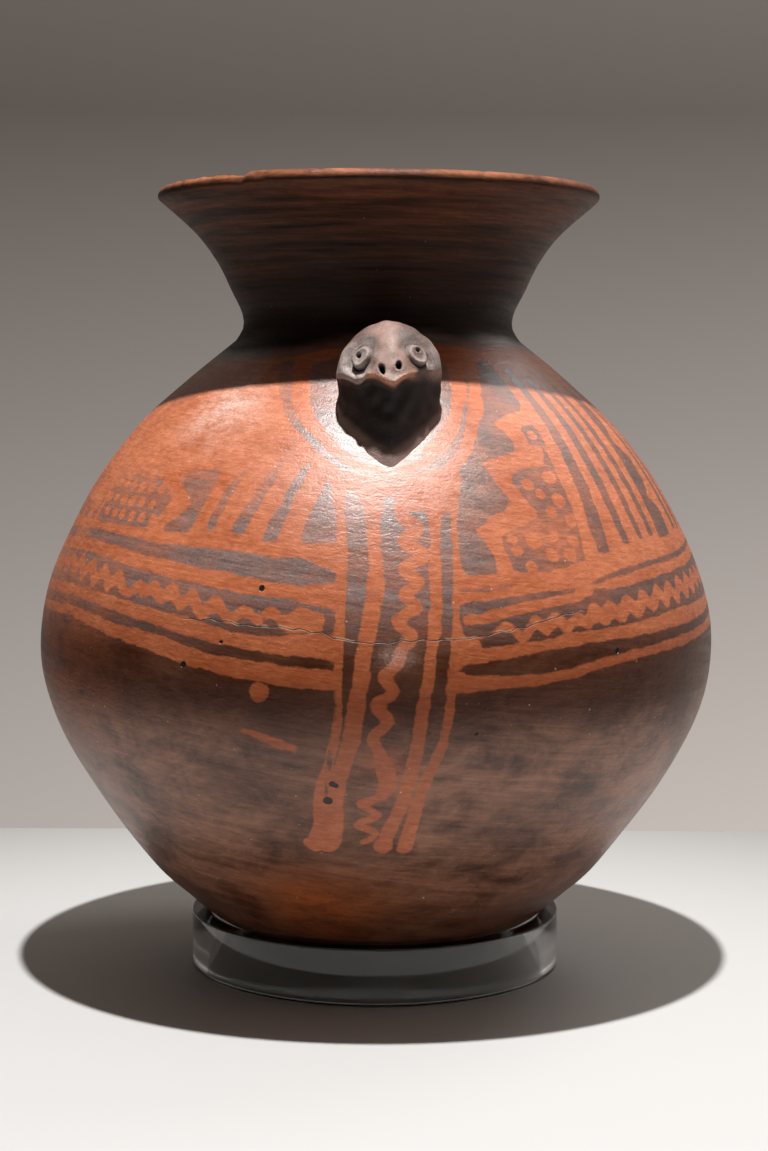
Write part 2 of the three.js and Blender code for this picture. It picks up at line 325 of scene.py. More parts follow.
def front_marks() -> List[Mark]:
    """The marks on the head's side, from the upright panel out to both sides."""
    return [
        # upright panel under the head
        smoked(0, (-5.3, 168), (-5.6, 162), (-5, 155), (-4.7, 148), (-4.5, 141), (-4.7, 133.6),
               (-4.8, 126.4), (-5, 119), (-5, 112), (-5.3, 104), (-5.7, 97), (-6.1, 90), (-5.6, 90),
               (-4.9, 99), (-4.2, 106), (-3.6, 112), (-3.2, 118), (-2.7, 124.3), (-2.2, 130),
               (-1.7, 137), (-1.3, 144.3), (-1.3, 149.3), (-1.7, 155), (-2.2, 162), (-3.6, 166.4)),
        smoked(1, (1.2, 166), (0.6, 158.6), (0.7, 151.4), (1.2, 144.3), (1.2, 138.6), (0.5, 130),
               (0, 125), (-0.7, 119.3), (-1, 112), (-1.7, 101.4), (-2.4, 93), (-2.8, 86), (4.6, 85),
               (5.4, 92), (6, 98), (6.3, 105), (7, 115.7), (7.5, 123), (7.8, 130), (8.2, 137),
               (8.3, 146.4), (8.8, 155), (8.6, 162), (6, 161), (3.6, 165)),
        smoked(0, (12.2, 164), (11.5, 160.7), (10.7, 155), (10.3, 148), (10.2, 140.7), (10, 133.6),
               (9.7, 126.4), (9, 119.3), (8.6, 112), (8.2, 104), (7.9, 96), (7.6, 88), (8.8, 92),
               (9.7, 98), (10.2, 105), (10.5, 112), (11, 119.3), (11.3, 126.4), (11.6, 133.6),
               (12, 140.7), (12.4, 148), (12.6, 155), (12.7, 160.7)),
        reserved(2, (5.6, 166, 3), (4.2, 160.8, 2.3), (6.6, 156.6, 2.4), (4.5, 152.6, 2.1),
                 (7.8, 148.6, 2), (4.2, 144.6, 1.8), (6.8, 141, 1.7), (4.1, 137.4, 1.7),
                 (6.4, 133.7, 1.5), (3, 130, 1.7), (5.5, 125.4, 1.6), (3.7, 121.3, 1.9),
                 (3.3, 117.5, 1.9), (1, 113.4, 1.8), (2.6, 108.9, 1.8), (0, 105, 1.7),
                 (1.9, 99.9, 1.8), (-0.5, 95.6, 1.6), (0.3, 91, 2), (1.6, 84.5, 3), (1.9, 79, 2.6),
                 (0.2, 75.4, 1.6), (-2.7, 73.2, 1.3), (0.7, 69.8, 1.3), (-3.2, 66.4, 1.3),
                 (0.2, 63.2, 1.3), (-2.2, 60.2, 1.3)),
        reserved(0, (-5.6, 114, 1.2), (-5.6, 105, 1.2), (-5.9, 98, 1.3), (-6.5, 92, 1.5),
                 (-7.4, 86, 1.8), (-8.2, 80, 2.6), (-8.8, 73, 3.3), (-9.1, 66, 3.6), (-10, 61.5, 4)),
        dot(2, -11.4, 59.2, 3.4),
        dot(1, -8.8, 58.8, 3.2),
        reserved(1, (-1.8, 114, 2.4), (-2.5, 110, 2.5), (-3, 104, 2.6), (-3.4, 97, 2.6),
                 (-4.4, 90, 2.7), (-5.7, 83, 2.6), (-6.6, 76, 2.6), (-7, 68, 2.4), (-7.6, 61, 2.6)),
        reserved(0, (7.9, 116, 1.6), (7.1, 105, 1.9), (6.7, 98, 2), (6.2, 90, 2.1), (5.5, 82, 2.2),
                 (4.7, 75, 2.2), (3.3, 68, 2.2), (1.9, 62, 2.4), (1.3, 58.6, 3)),
        reserved(1, (11.2, 115, 1.3), (11.1, 105, 1.5), (10.7, 97, 1.6), (9.8, 90, 1.7),
                 (8.8, 85, 1.8), (7.9, 80, 1.9), (7.2, 75, 2), (6.6, 68, 2.1), (5.9, 61, 2.3),
                 (5.6, 58, 2.5)),
        Mark(Ground.LATE, 0, ((-6.9, 91, 0.8), (-7.5, 84, 0.5), (-8.2, 77, 0.35), (-8.7, 71, 0.15)), True),
        Mark(Ground.LATE, 0, ((7.5, 87, 0.9), (6.9, 82, 0.5), (6.2, 76, 0.4), (5.6, 71, 0.2)), True),
        # bands on the left of the panel
        smoked(1, (-6.3, 144.2), (-9, 145.4), (-11, 147.1), (-13, 148), (-15, 148), (-17.3, 147.5),
               (-20, 148.4), (-25, 149.3), (-30, 149.6), (-40, 150.5), (-50, 152), (-60, 153.2),
               (-75, 152.5), (-91, 150.8), (-91, 147.8), (-75, 149.6), (-60, 150), (-50, 148.6),
               (-45, 147.4), (-40, 146.2), (-35, 145.4), (-30, 144.1), (-25, 143.1), (-21.7, 142),
               (-18.3, 141.2), (-15, 140), (-11.7, 139.9), (-9, 140.4), (-6.3, 140.9)),
        smoked(2, (-6.3, 133.2), (-9, 133.9), (-11.7, 135), (-15, 136.1), (-20, 136.6), (-25, 137.9),
               (-30, 139.4), (-35, 140.4), (-40, 141.8), (-45, 142.9), (-52, 144.6), (-60, 146),
               (-75, 145.6), (-91, 143.6), (-91, 133.6), (-75, 135.4), (-60, 135.6), (-52, 134.4),
               (-45, 132.9), (-40, 131.8), (-35, 130.4), (-30, 129.1), (-26, 127.3), (-22, 125.6),
               (-18, 125), (-15, 124.9), (-12.2, 125.7), (-8, 126), (-6.3, 125.6)),
        red_teeth(0, *[(-90.4 + 2.24 * i, 138 + 0.22 * i + 2.2 * (i % 2), 2.2) for i in range(10)],
                 (-68, 140.6, 2.2), (-65.8, 143, 2.2), (-63.5, 140, 2.2), (-61.2, 142.4, 2.2),
                 (-58.8, 139.4, 2.2), (-56.4, 141.6, 2.2), (-54, 138.2, 2.2), (-51.8, 140.6, 2.2),
                 (-49.4, 137.2, 2.2), (-47.2, 139.4, 2.2), (-45, 136, 2), (-43.2, 135.6, 1.8),
                 (-41.5, 137.2, 2), (-40.1, 135.8, 2.1), (-38.2, 137.1, 2.4), (-35.9, 134.9, 2.2),
                 (-34.2, 136.2, 2.5), (-32.1, 133.4, 2.2), (-30, 134.9, 2.4), (-27.9, 131.3, 2.2),
                 (-25.6, 133.2, 2.6), (-23, 129.8, 1.7), (-20.4, 131.7, 2), (-18.3, 129.7, 1.7),
                 (-16.4, 131.6, 1.8), (-14.1, 129.5, 2.1), (-11.6, 130.6, 3.2), (-9.2, 129.8, 2.9)),
        reserved(1, (-14, 126.7, 0.5), (-12, 127.8, 1.8), (-9, 127.4, 1.6), (-8.4, 127.3, 0.9)),
        smoked(1, (-6.3, 118.2), (-10, 118.9), (-15, 119.6), (-20, 120.9), (-25, 121.8), (-30, 123.6),
               (-35, 125.6), (-40, 127.1), (-45, 128.8), (-52, 130.6), (-60, 132), (-75, 131.6),
               (-91, 130), (-91, 127), (-75, 128.6), (-60, 129), (-52, 127.5), (-45, 125.4),
               (-40, 124.6), (-35, 123), (-30, 120.7), (-25, 118.7), (-20, 117.7), (-15, 116.6),
               (-10, 115.7), (-6.3, 115.4)),
        dot(2, -17.7, 108.2, 3.2),
        reserved(2, (-21, 96.2, 0.6), (-17, 94, 1.2), (-14, 92, 1.5), (-12.6, 91, 1.2)),
        # upper left: wedge, slanting stripes, serrated patch
        smoked(2, (-12.7, 152), (-12.2, 158), (-11, 163.6), (-9.7, 168.6), (-8.8, 172), (-8.2, 166.4),
               (-7.3, 162), (-6.7, 156.4), (-6.6, 152.4)),
        smoked(0, (-19.5, 152.6), (-16.8, 152.3), (-16.2, 157), (-15.3, 162), (-14.2, 168.6),
               (-13, 175.5), (-13.9, 176), (-15.7, 170.7), (-17, 164.3), (-18.3, 159.3), (-19.2, 155.7)),
        smoked(2, (-25.3, 154), (-23, 154), (-22, 159.3), (-20.7, 165), (-18.7, 173.6), (-17.3, 179.5),
               (-18.7, 180.5), (-20.3, 175), (-22.3, 168), (-24, 161.4), (-25.4, 156.4)),
        smoked(0, (-30.5, 155), (-29.2, 155), (-28.6, 159.3), (-27, 167), (-25, 175), (-23.6, 181.4),
               (-24.8, 182.4), (-25.6, 180), (-27.3, 173.6), (-29, 166.4), (-30.4, 159.3)),
        smoked(1, (-40.5, 154), (-34.2, 154.1), (-33.3, 159.3), (-32.2, 166.4), (-31.6, 173),
               (-31, 181), (-34, 179), (-38, 175), (-40.6, 169.6), (-37.2, 165.2), (-35.5, 163),
               (-37, 159.8), (-39.2, 157)),
        smoked(2, (-45, 154.6), (-43.6, 155.6), (-42, 159.5), (-40.9, 163), (-41.8, 166), (-45, 168),
               (-47, 173), (-50, 177), (-56, 178), (-61, 176), (-62.5, 166), (-62, 156)),
        *[dot((row + i) % 3, -43.6 - 1.5 * (row % 2) - 0.5 * row - 3.15 * i, 157.4 + 4.5 * row + 0.3 * i, 2.0)
          for row in range(5) for i in range(6)],
        *[smoked(i % 2, (-66.4 - 5 * i, 156), (-64 - 5 * i, 156), (-62.4 - 4.8 * i, 170),
                 (-60.2 - 4.6 * i, 186), (-58.2 - 4.4 * i, 204), (-60 - 4.4 * i, 204),
                 (-62.4 - 4.6 * i, 186), (-64.6 - 4.8 * i, 170)) for i in range(5)],
        # upper right: great serrated patch, field of dots, upright stripes
        smoked(1, (13.6, 142.9), (13.7, 155), (14.2, 160.7), (15.2, 166.4), (16, 170.7), (16, 173.6),
               (17.7, 175.7), (20, 180), (22, 184.3), (23.3, 188), (26, 191), (27.3, 195.7),
               (29, 199.6), (31, 203), (33.5, 207.5), (37.5, 207.5), (38, 197), (38, 193),
               (36.3, 191.4), (31.7, 190.4), (26.8, 187.6), (28.3, 185.4), (29.8, 182), (29.3, 179),
               (25, 177.5), (21, 175.6), (22.3, 170.7), (24.6, 164.3), (23.3, 161.8), (20.3, 160),
               (17, 155.6), (18.3, 151.8), (19.5, 148), (19.6, 143.4), (16.3, 142.6)),
        smoked(2, (24.3, 143.4), (22.7, 143.8), (21.6, 149.3), (21.5, 154.3), (23.7, 155.4),
               (26.7, 157), (29.7, 159.3), (29.5, 161.6), (28.6, 163.4), (27.6, 167), (26, 169.4),
               (26.5, 172.2), (30, 174), (35, 174.4), (36, 178), (37.4, 181), (37.5, 176.4),
               (37.4, 169.3), (37.7, 162), (37.5, 155), (36.8, 146.4), (31.7, 144.3), (28.3, 143.6)),
        smoked(2, (33.6, 181), (33.5, 186.6), (37.8, 187.4), (38, 180.6)),
        dot(0, 35.6, 184, 1.9), dot(0, 23.4, 153, 2), dot(1, 23.8, 149.8, 2), dot(2, 27.3, 152.6, 3),
        dot(0, 31.5, 153.4, 2.1), dot(1, 35.5, 152, 2.3), dot(2, 25.8, 144.8, 2.3),
        dot(0, 30.2, 148, 2.5), dot(1, 33.9, 147.9, 2.5), dot(0, 32.6, 160.7, 2.2),
        dot(1, 36.3, 158, 2.3), dot(2, 35.2, 164.4, 2.7), dot(1, 31.5, 166.2, 2.1),
        dot(0, 29.6, 169, 2.3), dot(0, 35, 171.2, 2.7),
        smoked(0, (40.3, 147.8), (43, 148.3), (43.8, 160), (44.2, 170), (44.4, 185), (44.8, 205),
               (42, 205), (41.6, 185), (41.2, 176), (40.8, 165), (40.2, 156)),
        smoked(1, (47.3, 150.2), (49.2, 150.4), (49.3, 165), (49.6, 180), (50.2, 205), (48, 205),
               (47.2, 186), (46.8, 170)),
        smoked(0, (52.6, 151.4), (54, 151.4), (54.1, 165), (54.6, 184), (55.4, 205), (53.2, 205),
               (52.6, 186), (52.1, 168)),
        smoked(1, (56.8, 152), (58.4, 152), (58.8, 170), (59.6, 188), (60.6, 205), (58.4, 205),
               (57.4, 188), (56.6, 170)),
        smoked(2, (60.6, 151), (66.6, 151.6), (67.6, 160), (64.4, 164), (67.4, 169), (68.6, 177),
               (65, 181), (68.4, 187), (69.4, 196), (66, 201), (63.6, 190), (62.2, 175), (61, 162)),
        *[smoked(i % 2, (70.6 + 4.6 * i, 153), (72.4 + 4.6 * i, 153), (73.2 + 4.4 * i, 170),
                 (74.8 + 4.1 * i, 188), (76.6 + 3.8 * i, 205), (74.6 + 3.8 * i, 205),
                 (72.9 + 4.1 * i, 188), (71.2 + 4.4 * i, 170)) for i in range(4)],
        # bands on the right of the panel
        dark_line(2, (13.2, 138.6, 0.35), (17.7, 138.9, 0.5), (21.8, 139.4, 0.2)),
        smoked(2, (12.8, 134.6), (15, 135.1), (20, 136), (25, 137), (30, 137.7), (35, 138.3),
               (38, 139.8), (40, 141.4), (42.3, 142.1), (45, 143), (52, 144.4), (60, 145.6),
               (70, 147), (80, 149), (91, 150.8), (91, 133.6), (80, 131.4), (70, 129.8), (60, 129.4),
               (52, 128), (45, 126.7), (41.7, 126.1), (38.3, 125.7), (33.3, 125.4), (30, 125),
               (28.3, 124), (25, 123), (21.7, 122.9), (18.3, 122.1), (15.7, 121.6), (15.4, 124.4),
               (13, 125.4), (12.7, 130)),
        reserved(0, (33, 138.2, 0.2), (35, 137.9, 0.9), (38.5, 138.3, 1.2), (41.7, 138.9, 1.6),
                 (45, 139.4, 1.9), (52, 141, 2), (60, 142.2, 1.8), (70, 143.6, 1.8), (80, 145.8, 1.8),
                 (91, 147.2, 1.9)),
        reserved(0, (13.9, 129.8, 1.7), (16.7, 130.4, 1.7), (20, 131.9, 1.7), (25, 133.6, 1.6),
                 (30, 134.9, 1.5), (33, 135.6, 1.6), (36, 137, 1.5)),
        red_teeth(1, (15, 124.6, 0.4), (17.6, 126, 1.1), (20.3, 127.6, 1.6), (22.6, 125.2, 1.8),
                 (25, 128.4, 2.1), (26.7, 127.2, 2.4), (28.6, 129.2, 2.1), (30.4, 127.6, 2.3),
                 (33, 128.8, 2.1), (34.6, 128.2, 2.4), (36.3, 130.6, 2.8), (38, 129, 2.5),
                 (39.8, 131, 2.9), (41.8, 129.4, 2.4), (44, 132, 2.8), (46.2, 130.4, 2.5),
                 (48.4, 133.4, 2.5), (50.6, 131.6, 2.4), (52.8, 134.6, 2.4), (55, 132.6, 2.2),
                 (57.2, 135.6, 2.2), (59.4, 133.2, 2.2), (61.6, 136.4, 2.2), (63.8, 134, 2.2),
                 (66, 137, 2.2), (68.2, 134.8, 2.2), (70.4, 137.8, 2.2), (72.6, 135.8, 2),
                 *[(74.8 + 2.2 * i, 138.4 + 0.2 * i - 2.4 * (i % 2), 2.2) for i in range(8)]),
        smoked(1, (11.8, 115.4), (13.7, 117), (16.7, 117.7), (20, 118.4), (23.3, 119.3), (26.7, 120),
               (30, 120.9), (35, 121.6), (40, 122), (45, 122.4), (52, 123.2), (60, 124), (70, 125.4),
               (80, 127.6), (91, 130), (91, 127), (80, 124.6), (70, 122.4), (60, 121), (52, 119.8),
               (45, 118.6), (40, 117.5), (35, 116.1), (30, 114.4), (26.7, 113.6), (23.3, 113),
               (20, 113.4), (16.7, 113.6), (13.7, 113.9)),
    ]


def head_ring_marks() -> List[Mark]:
    """The dark rings that circle the head, which the other side of the bottle doesn't have."""
    return [
        dark_line(0, (-29, 206, 2.2), (-26, 200, 2.1), (-23.6, 195.7, 1.6), (-20, 189.4, 1.3),
                  (-16.7, 185.7, 1.2), (-13.3, 181.8, 1.2), (-10, 177.6, 1.1), (-7.3, 175, 1),
                  (-4.6, 173.4, 0.6)),
        smoked(2, (-21, 206), (-19, 201), (-17.3, 195.7), (-15, 190.7), (-12, 186.4), (-8, 181),
               (-3, 176), (2.7, 174), (8, 176), (10, 181), (12.5, 184), (15, 187), (16.8, 190),
               (18.7, 195), (20.3, 200), (21.6, 206), (14, 208), (-13, 208)),
        dark_line(0, (25.5, 201, 0.6), (24.1, 197, 0.45), (21.7, 193, 0.5), (19.7, 188.2, 0.7),
                  (18, 184.3, 1), (15.7, 180, 1.4), (13, 176.4, 1.5), (10.3, 174.2, 1.2),
                  (7.5, 173, 0.6)),
    ]


# turn and height of the painted ground's lower edge, the same in front and behind
LOWER_EDGE = (
    (-91, 124), (-75, 125.4), (-60, 125.6), (-52, 123.6), (-45, 121), (-40, 119.6), (-35, 117.5), (-30, 115),
    (-25, 113.2), (-20, 111.8), (-15, 110.7), (-10, 109.6), (-6, 109.5), (6, 108.6), (12, 108.3), (20, 109.6),
    (25, 109.7), (30, 111.1), (35, 112.9), (40, 114.4), (45, 115.7), (60, 117.6), (75, 120.4), (91, 124),
)
# turn, width and depth of the chips along the rim
RIM_CHIPS = ((-14.5, 0.9, 0.3), (26.5, 0.8, 0.28), (118.0, 2.6, 0.9), (203.0, 1.4, 0.5))
# where the red shoulder ends under the smoked neck
COLLAR = (
    (-180, 211), (-91, 209), (-60, 207), (-32, 208), (-16, 211), (0, 213), (20, 213), (36, 211), (60, 212),
    (91, 209), (180, 211),
)
# the hairline crack in front and the scratch below it
CRACK = (
    (-33, 129.2), (-30, 128.7), (-25, 128.8), (-20, 127.7), (-15, 127.5), (-12, 127), (-8, 126), (-5, 124.2),
    (0, 123.4), (5, 124.2), (13, 124.4), (18, 125.8), (22, 127), (26, 128.7), (30, 130.4), (35, 131.5),
)
SCRATCH = ((-35, 120), (-33, 118), (-30.5, 115), (-27, 111.4), (-21, 106.6))
# strength, middle and size of dust patches, the one in front below the head being a painted sheen of the
# lamp's highlight, and of patches where the fire left the clay reddish
DUST_AND_SHEEN = ((1.3, (-39, 192), (10, 11)), (0.7, (4, 172), (20, 12)), (0.8, (3, 119.5), (2.4, 3)))
REDDISH = ((1.0, (-15, 36), (15, 12)), (0.7, (-62, 104), (14, 20)), (0.8, (150, 60), (20, 24)))


@dataclass
class Painting:
    """Works out how deep every place of the wall lies inside each mark, in millimetres."""

    turn: Array
    height: Array
    along: Array
    girth: Array
    layers: Dict[Ground, Array] = field(default_factory=dict)

    def __post_init__(self) -> None:
        """Starts with no marks at all."""
        for ground in Ground:
            self.layers[ground] = np.full((len(self.turn), 3), -REACH)

    def _distance(self, here: Array, start: Array, end: Array, turn: Array) -> Tuple[Array, Array]:
        """Distance to a short line on the wall, and how far along that line the nearest place is.

        Args:
            here: Numbers of the vertices looked at.
            start: Turn and way along the outline of one end.
            end: The same of the other end.
            turn: Every vertex's turn as this copy of the painting counts it.

        Returns:
            The distances in millimetres, and the shares of the way from start to end.
        """
        across = self.girth[here]
        x = (turn[here] - start[0]) * across
        y = self.along[here] - start[1]
        bx = (end[0] - start[0]) * across
        by = end[1] - start[1]
        share = np.clip((x * bx + y * by) / np.maximum(bx * bx + by * by, 1e-9), 0.0, 1.0)
        return np.hypot(x - share * bx, y - share * by), share

    def lay(self, mark: Mark, turn: Array, height: Array, outline: Array) -> None:
        """Lays one mark on the wall.

        Args:
            mark: The mark.
            turn: Every vertex's turn in degrees, as this copy of the painting counts it.
            height: Every vertex's height, as this copy of the painting counts it.
            outline: (height, way along) pairs of the wall.
        """
        points = np.array(mark.points, float)
        if mark.curved:
            points = smooth_path(points, 4)
        widest = points[:, 2].max() if mark.is_stroke else 0.0
        margin = REACH + widest
        low, high = points.min(0), points.max(0)
        beside = margin / 0.9  # a degree round the wall is at least 0.9 mm where the painting is
        near = (height > low[1] - margin) & (height < high[1] + margin) & (self.girth > 0)
        here = np.nonzero(near & (turn > low[0] - beside) & (turn < high[0] + beside))[0]
        if len(here) == 0:
            return
        ways = np.interp(points[:, 1], outline[:, 0], outline[:, 1])
        moved = np.interp(height, outline[:, 0], outline[:, 1]) - self.along
        line = np.stack([points[:, 0], ways], 1)
        self.along = self.along + moved
        nearest = np.full(len(here), -1e3)
        count = len(line)
        for i in range(count - 1 if mark.is_stroke else count):
            j = (i + 1) % count
            distance, share = self._distance(here, line[i], line[j], turn)
            width = points[i, 2] + (points[j, 2] - points[i, 2]) * share if mark.is_stroke else 0.0
            nearest = np.maximum(nearest, width - distance)
        if not mark.is_stroke:
            inside = np.zeros(len(here), bool)
            x, y = turn[here], self.along[here]
            for i in range(count):
                (x1, y1), (x2, y2) = line[i], line[(i + 1) % count]
                crosses = (y1 > y) != (y2 > y)
                inside ^= crosses & (x < (x2 - x1) * (y - y1) / (y2 - y1 + 1e-12) + x1)
            nearest = np.where(inside, -nearest, nearest)
        self.along = self.along - moved
        layer = self.layers[mark.ground]
        depth = np.clip(nearest, -REACH, REACH)
        layer[here, mark.channel] = np.maximum(layer[here, mark.channel], depth)


# The bottle


@dataclass
class Vessel:
    """The bottle's wall: round body, waisted neck and flared mouth, turned up by hand."""

    height: float = 266.0
    belly_radius: float = 115.0
    belly_height: float = 112.0
    waist_radius: float = 46.0
    waist_height: float = 219.5
    rim_radius: float = 75.2
    base_height: float = 7.4
    wall: float = 6.5
    neck_wall: float = 5.4
    lip_radius: float = 2.6
    steps: int = 400
    ring_bore: float = 57.3
    ring_top: float = 19.0

    def body_points(self) -> Points:
        """Outside of the body, from the middle of the base to the foot of the neck."""
        base = self.base_height
        return [
            (0, base), (20, base + 1.1), (39, base + 4.6), (50, base + 8.2),
            (self.ring_bore, self.ring_top + 0.5), (66.4, 27.2), (78.5, 38.5), (98, 65.3),
            (110.7, 89.5), (self.belly_radius, self.belly_height), (111.4, 134.7), (98.9, 162),
            (82.6, 184.6), (65.4, 201.1), (self.waist_radius + 2.4, self.waist_height - 4.5),
        ]

    def neck_points(self) -> Points:
        """Outside of the neck, up to the underside of the lip."""
        waist, lip = self.waist_radius, self.lip_radius
        return [
            (waist, self.waist_height), (waist + 0.9, 224.5), (waist + 4.4, 231.5), (waist + 9, 241),
            (waist + 16.2, 250.8),
            (self.rim_radius - lip * (1 - math.sqrt(0.5)), self.height - lip * (1 + math.sqrt(0.5))),
        ]

    def outside(self) -> Array:
        """The outer face as one fine path from the base to the lip."""
        return np.concatenate([smooth_path(self.body_points(), 40), smooth_path(self.neck_points(), 24)])

    def _row_spacing(self, point: Array) -> float:
        """How far apart rows of faces lie: close where the painting is, wide under the base."""
        height = point[1]
        if height > 213:
            return 2.4
        return 3.3 - 1.9 * float(soft_step(height, 44.0, 58.0))

    def outline(self) -> Array:
        """The whole wall's section: up the outside, round the lip and down the inside."""
        path = self.outside()
        outer = respaced(path, self._row_spacing)
        middle = np.array([self.rim_radius - self.lip_radius, self.height - self.lip_radius])
        bends = np.radians(np.linspace(-30, 150, 14))
        lip = middle + self.lip_radius * np.stack([np.cos(bends), np.sin(bends)], 1)
        outer = outer[outer[:, 1] < lip[0, 1] - 0.6]
        way = np.gradient(path, axis=0)
        way /= np.linalg.norm(way, axis=1)[:, None]
        thick = np.where(path[:, 1] < self.waist_height - 6, self.wall, self.neck_wall)[:, None]
        inner = path + np.stack([-way[:, 1], way[:, 0]], 1) * thick
        inner = np.concatenate([[[0.0, self.base_height + self.wall]], inner[inner[:, 0] > 0.4]])
        inner = inner[inner[:, 1] < lip[-1, 1] - 1.0]
        inner = respaced(inner, lambda p: 4.0 if p[1] > 200 else 16.0)
        return np.concatenate([outer, lip, inner[::-1]])

    def build(self) -> bpy.types.Object:
        """Turns the wall, wears it by hand and stores the painting on it.

        Returns:
            The finished piece.
        """
        piece = turned_piece("vessel_wall", self.outline(), self.steps)
        places = coordinates(piece)
        turn = np.arctan2(places[:, 0], -places[:, 1])
        radius = np.hypot(places[:, 0], places[:, 1])
        height = places[:, 2]
        outer = self._outer_mask(radius, height)
        self._shape_by_hand(places, turn, radius, height)
        set_coordinates(piece, places)
        self._paint(piece, np.degrees(turn), radius, height, outer)
        return piece

    def _outer_mask(self, radius: Array, height: Array) -> Array:
        """Which vertices lie on the outer face."""
        path = self.outside()
        outer_radius = np.interp(height, path[:, 1], path[:, 0])
        wall = radius > outer_radius - 0.4 * self.neck_wall
        under = height < self.base_height + 0.5 * self.wall
        lip = (height > self.height - self.lip_radius * 1.8) & (radius > self.rim_radius - self.lip_radius)
        return wall | under | lip

    def _shape_by_hand(self, places: Array, turn: Array, radius: Array, height: Array) -> None:
        """Gives the wall its slow unevenness and the rim its worn-down places and missing flakes.

        Args:
            places: Vertex places, changed in place.
            turn: Their turns in radians.
            radius: Their distances from the axis.
            height: Their heights.
        """
        swell = 0.22 * hand_wobble(turn, height, 3) - 0.34
        swell *= soft_step(radius, 8.0, 40.0) * soft_step(height, 19.0, 34.0)
        grow = (radius + swell) / np.maximum(radius, 1e-6)
        places[:, :2] *= grow[:, None]
        degrees = np.degrees(turn)
        near_top = soft_step(height, self.height - 8.0, self.height - 0.5)
        worn = soft_step(degrees, -96, -80) * (1 - soft_step(degrees, -35.0, -33.2))
        ragged = 0.5 + 0.25 * np.sin(degrees * 0.9) + 0.25 * np.sin(degrees * 2.3 + 1.0)
        loss = worn * (0.55 + 0.5 * ragged)
        loss += 0.75 * ridge(degrees, -36.4, 2.3)
        for place, size, depth in RIM_CHIPS:
            loss += depth * ridge(off_from(degrees, place), 0.0, size)
        outer_edge = soft_step(radius, self.rim_radius - 2.2, self.rim_radius - 0.2)
        flake = ridge(degrees, -30.2, 1.5) * outer_edge
        places[:, 2] -= near_top * (loss + 0.5 * flake + 0.12 + 0.1 * np.sin(3 * turn + 1.0))
        shrink = 1 - (near_top * (0.5 * flake + 0.18 * loss)) / np.maximum(radius, 1.0)
        places[:, :2] *= shrink[:, None]

    def _paint(
        self, piece: bpy.types.Object, turn: Array, radius: Array, height: Array, outer: Array
    ) -> None:
        """Stores the painting, the dusted places with their painted sheen, the fire clouds, the bare rim and
        the cracks on the wall's vertices.

        Args:
            piece: The wall.
            turn: Vertex turns in degrees.
            radius: Vertex distances from the axis.
            height: Vertex heights.
            outer: Which vertices lie on the outer face.
        """
        path = self.outside()
        ways = np.concatenate([[0.0], np.cumsum(np.linalg.norm(np.diff(path, axis=0), axis=1))])
        order = np.stack([path[:, 1], ways], 1)
        degree = np.interp(height, path[:, 1], path[:, 0]) * math.pi / 180
        girth = np.where(outer & (height < self.waist_height - 3.5), degree, 0.0)
        sheet = Painting(turn, height, np.interp(height, path[:, 1], ways), girth)
        behind = off_from(turn, 180)
        drift = 1.3 * np.sin(np.radians(behind * 3.0)) * np.cos(height * 0.035)
        lift = 0.9 * np.sin(np.radians(behind * 4.0) + height * 0.06)
        calm = np.cos(np.radians(behind)) ** 2
        for mark in front_marks():
            sheet.lay(mark, turn, height, order)
            sheet.lay(mark, behind + drift * calm, height + lift * calm, order)
        for mark in head_ring_marks():
            sheet.lay(mark, turn, height, order)
        collar = np.interp(turn, *zip(*COLLAR))
        edge = np.interp(np.where(np.abs(turn) > 90, behind, turn), *zip(*LOWER_EDGE))
        base = np.clip((height - edge) * 0.98, -REACH, REACH)
        base = np.where(height > 200, np.clip(collar - height, -REACH, REACH), base)
        store(piece, "smoked", sheet.layers[Ground.SMOKED])
        store(piece, "reserved", sheet.layers[Ground.RESERVED])
        late, faded = sheet.layers[Ground.LATE][:, 0], self._faded(turn, height)
        store(piece, "ground", np.stack([base, late, faded], 1))
        # dust, with a painted sheen of the lamp's highlight in front below the head, and the fire's reddish
        # clouds
        dust_and_sheen, ember = (
            sum(strength * blot(off_from(turn, middle[0]), height, (0.0, middle[1]), size)
                for strength, middle, size in spots)
            for spots in (DUST_AND_SHEEN, REDDISH)
        )
        bare = soft_step(height, self.height - 2.7, self.height - 1.7) * soft_step(radius, 70.6, 71.6)
        # kept together: the dust with its painted sheen, the fire clouds and the bare rim
        store(piece, "wear_and_sheen", np.stack([dust_and_sheen * outer, ember * outer, bare], 1))
        crack, scratch = (self._crack(turn, height, line) for line in (CRACK, SCRATCH))
        long = soft_step(turn, -32, -29) * (1 - soft_step(turn, 32.5, 35))
        short = 0.35 * soft_step(turn, -34.6, -32) * (1 - soft_step(turn, -25, -21.5))
        short *= (height < 121) & (height > 105)
        span = np.where(np.abs(crack) < 4, long, short)
        crack, scratch = np.clip(crack, -REACH, REACH), np.clip(scratch, -REACH, REACH)
        store(piece, "cracks", np.stack([crack, scratch, span], 1))
        neck = soft_step(height - collar, 0.5, 5.0)
        store(piece, "zone", np.stack([neck, 1.0 - outer, soft_step(-height, -138, -116)], 1))

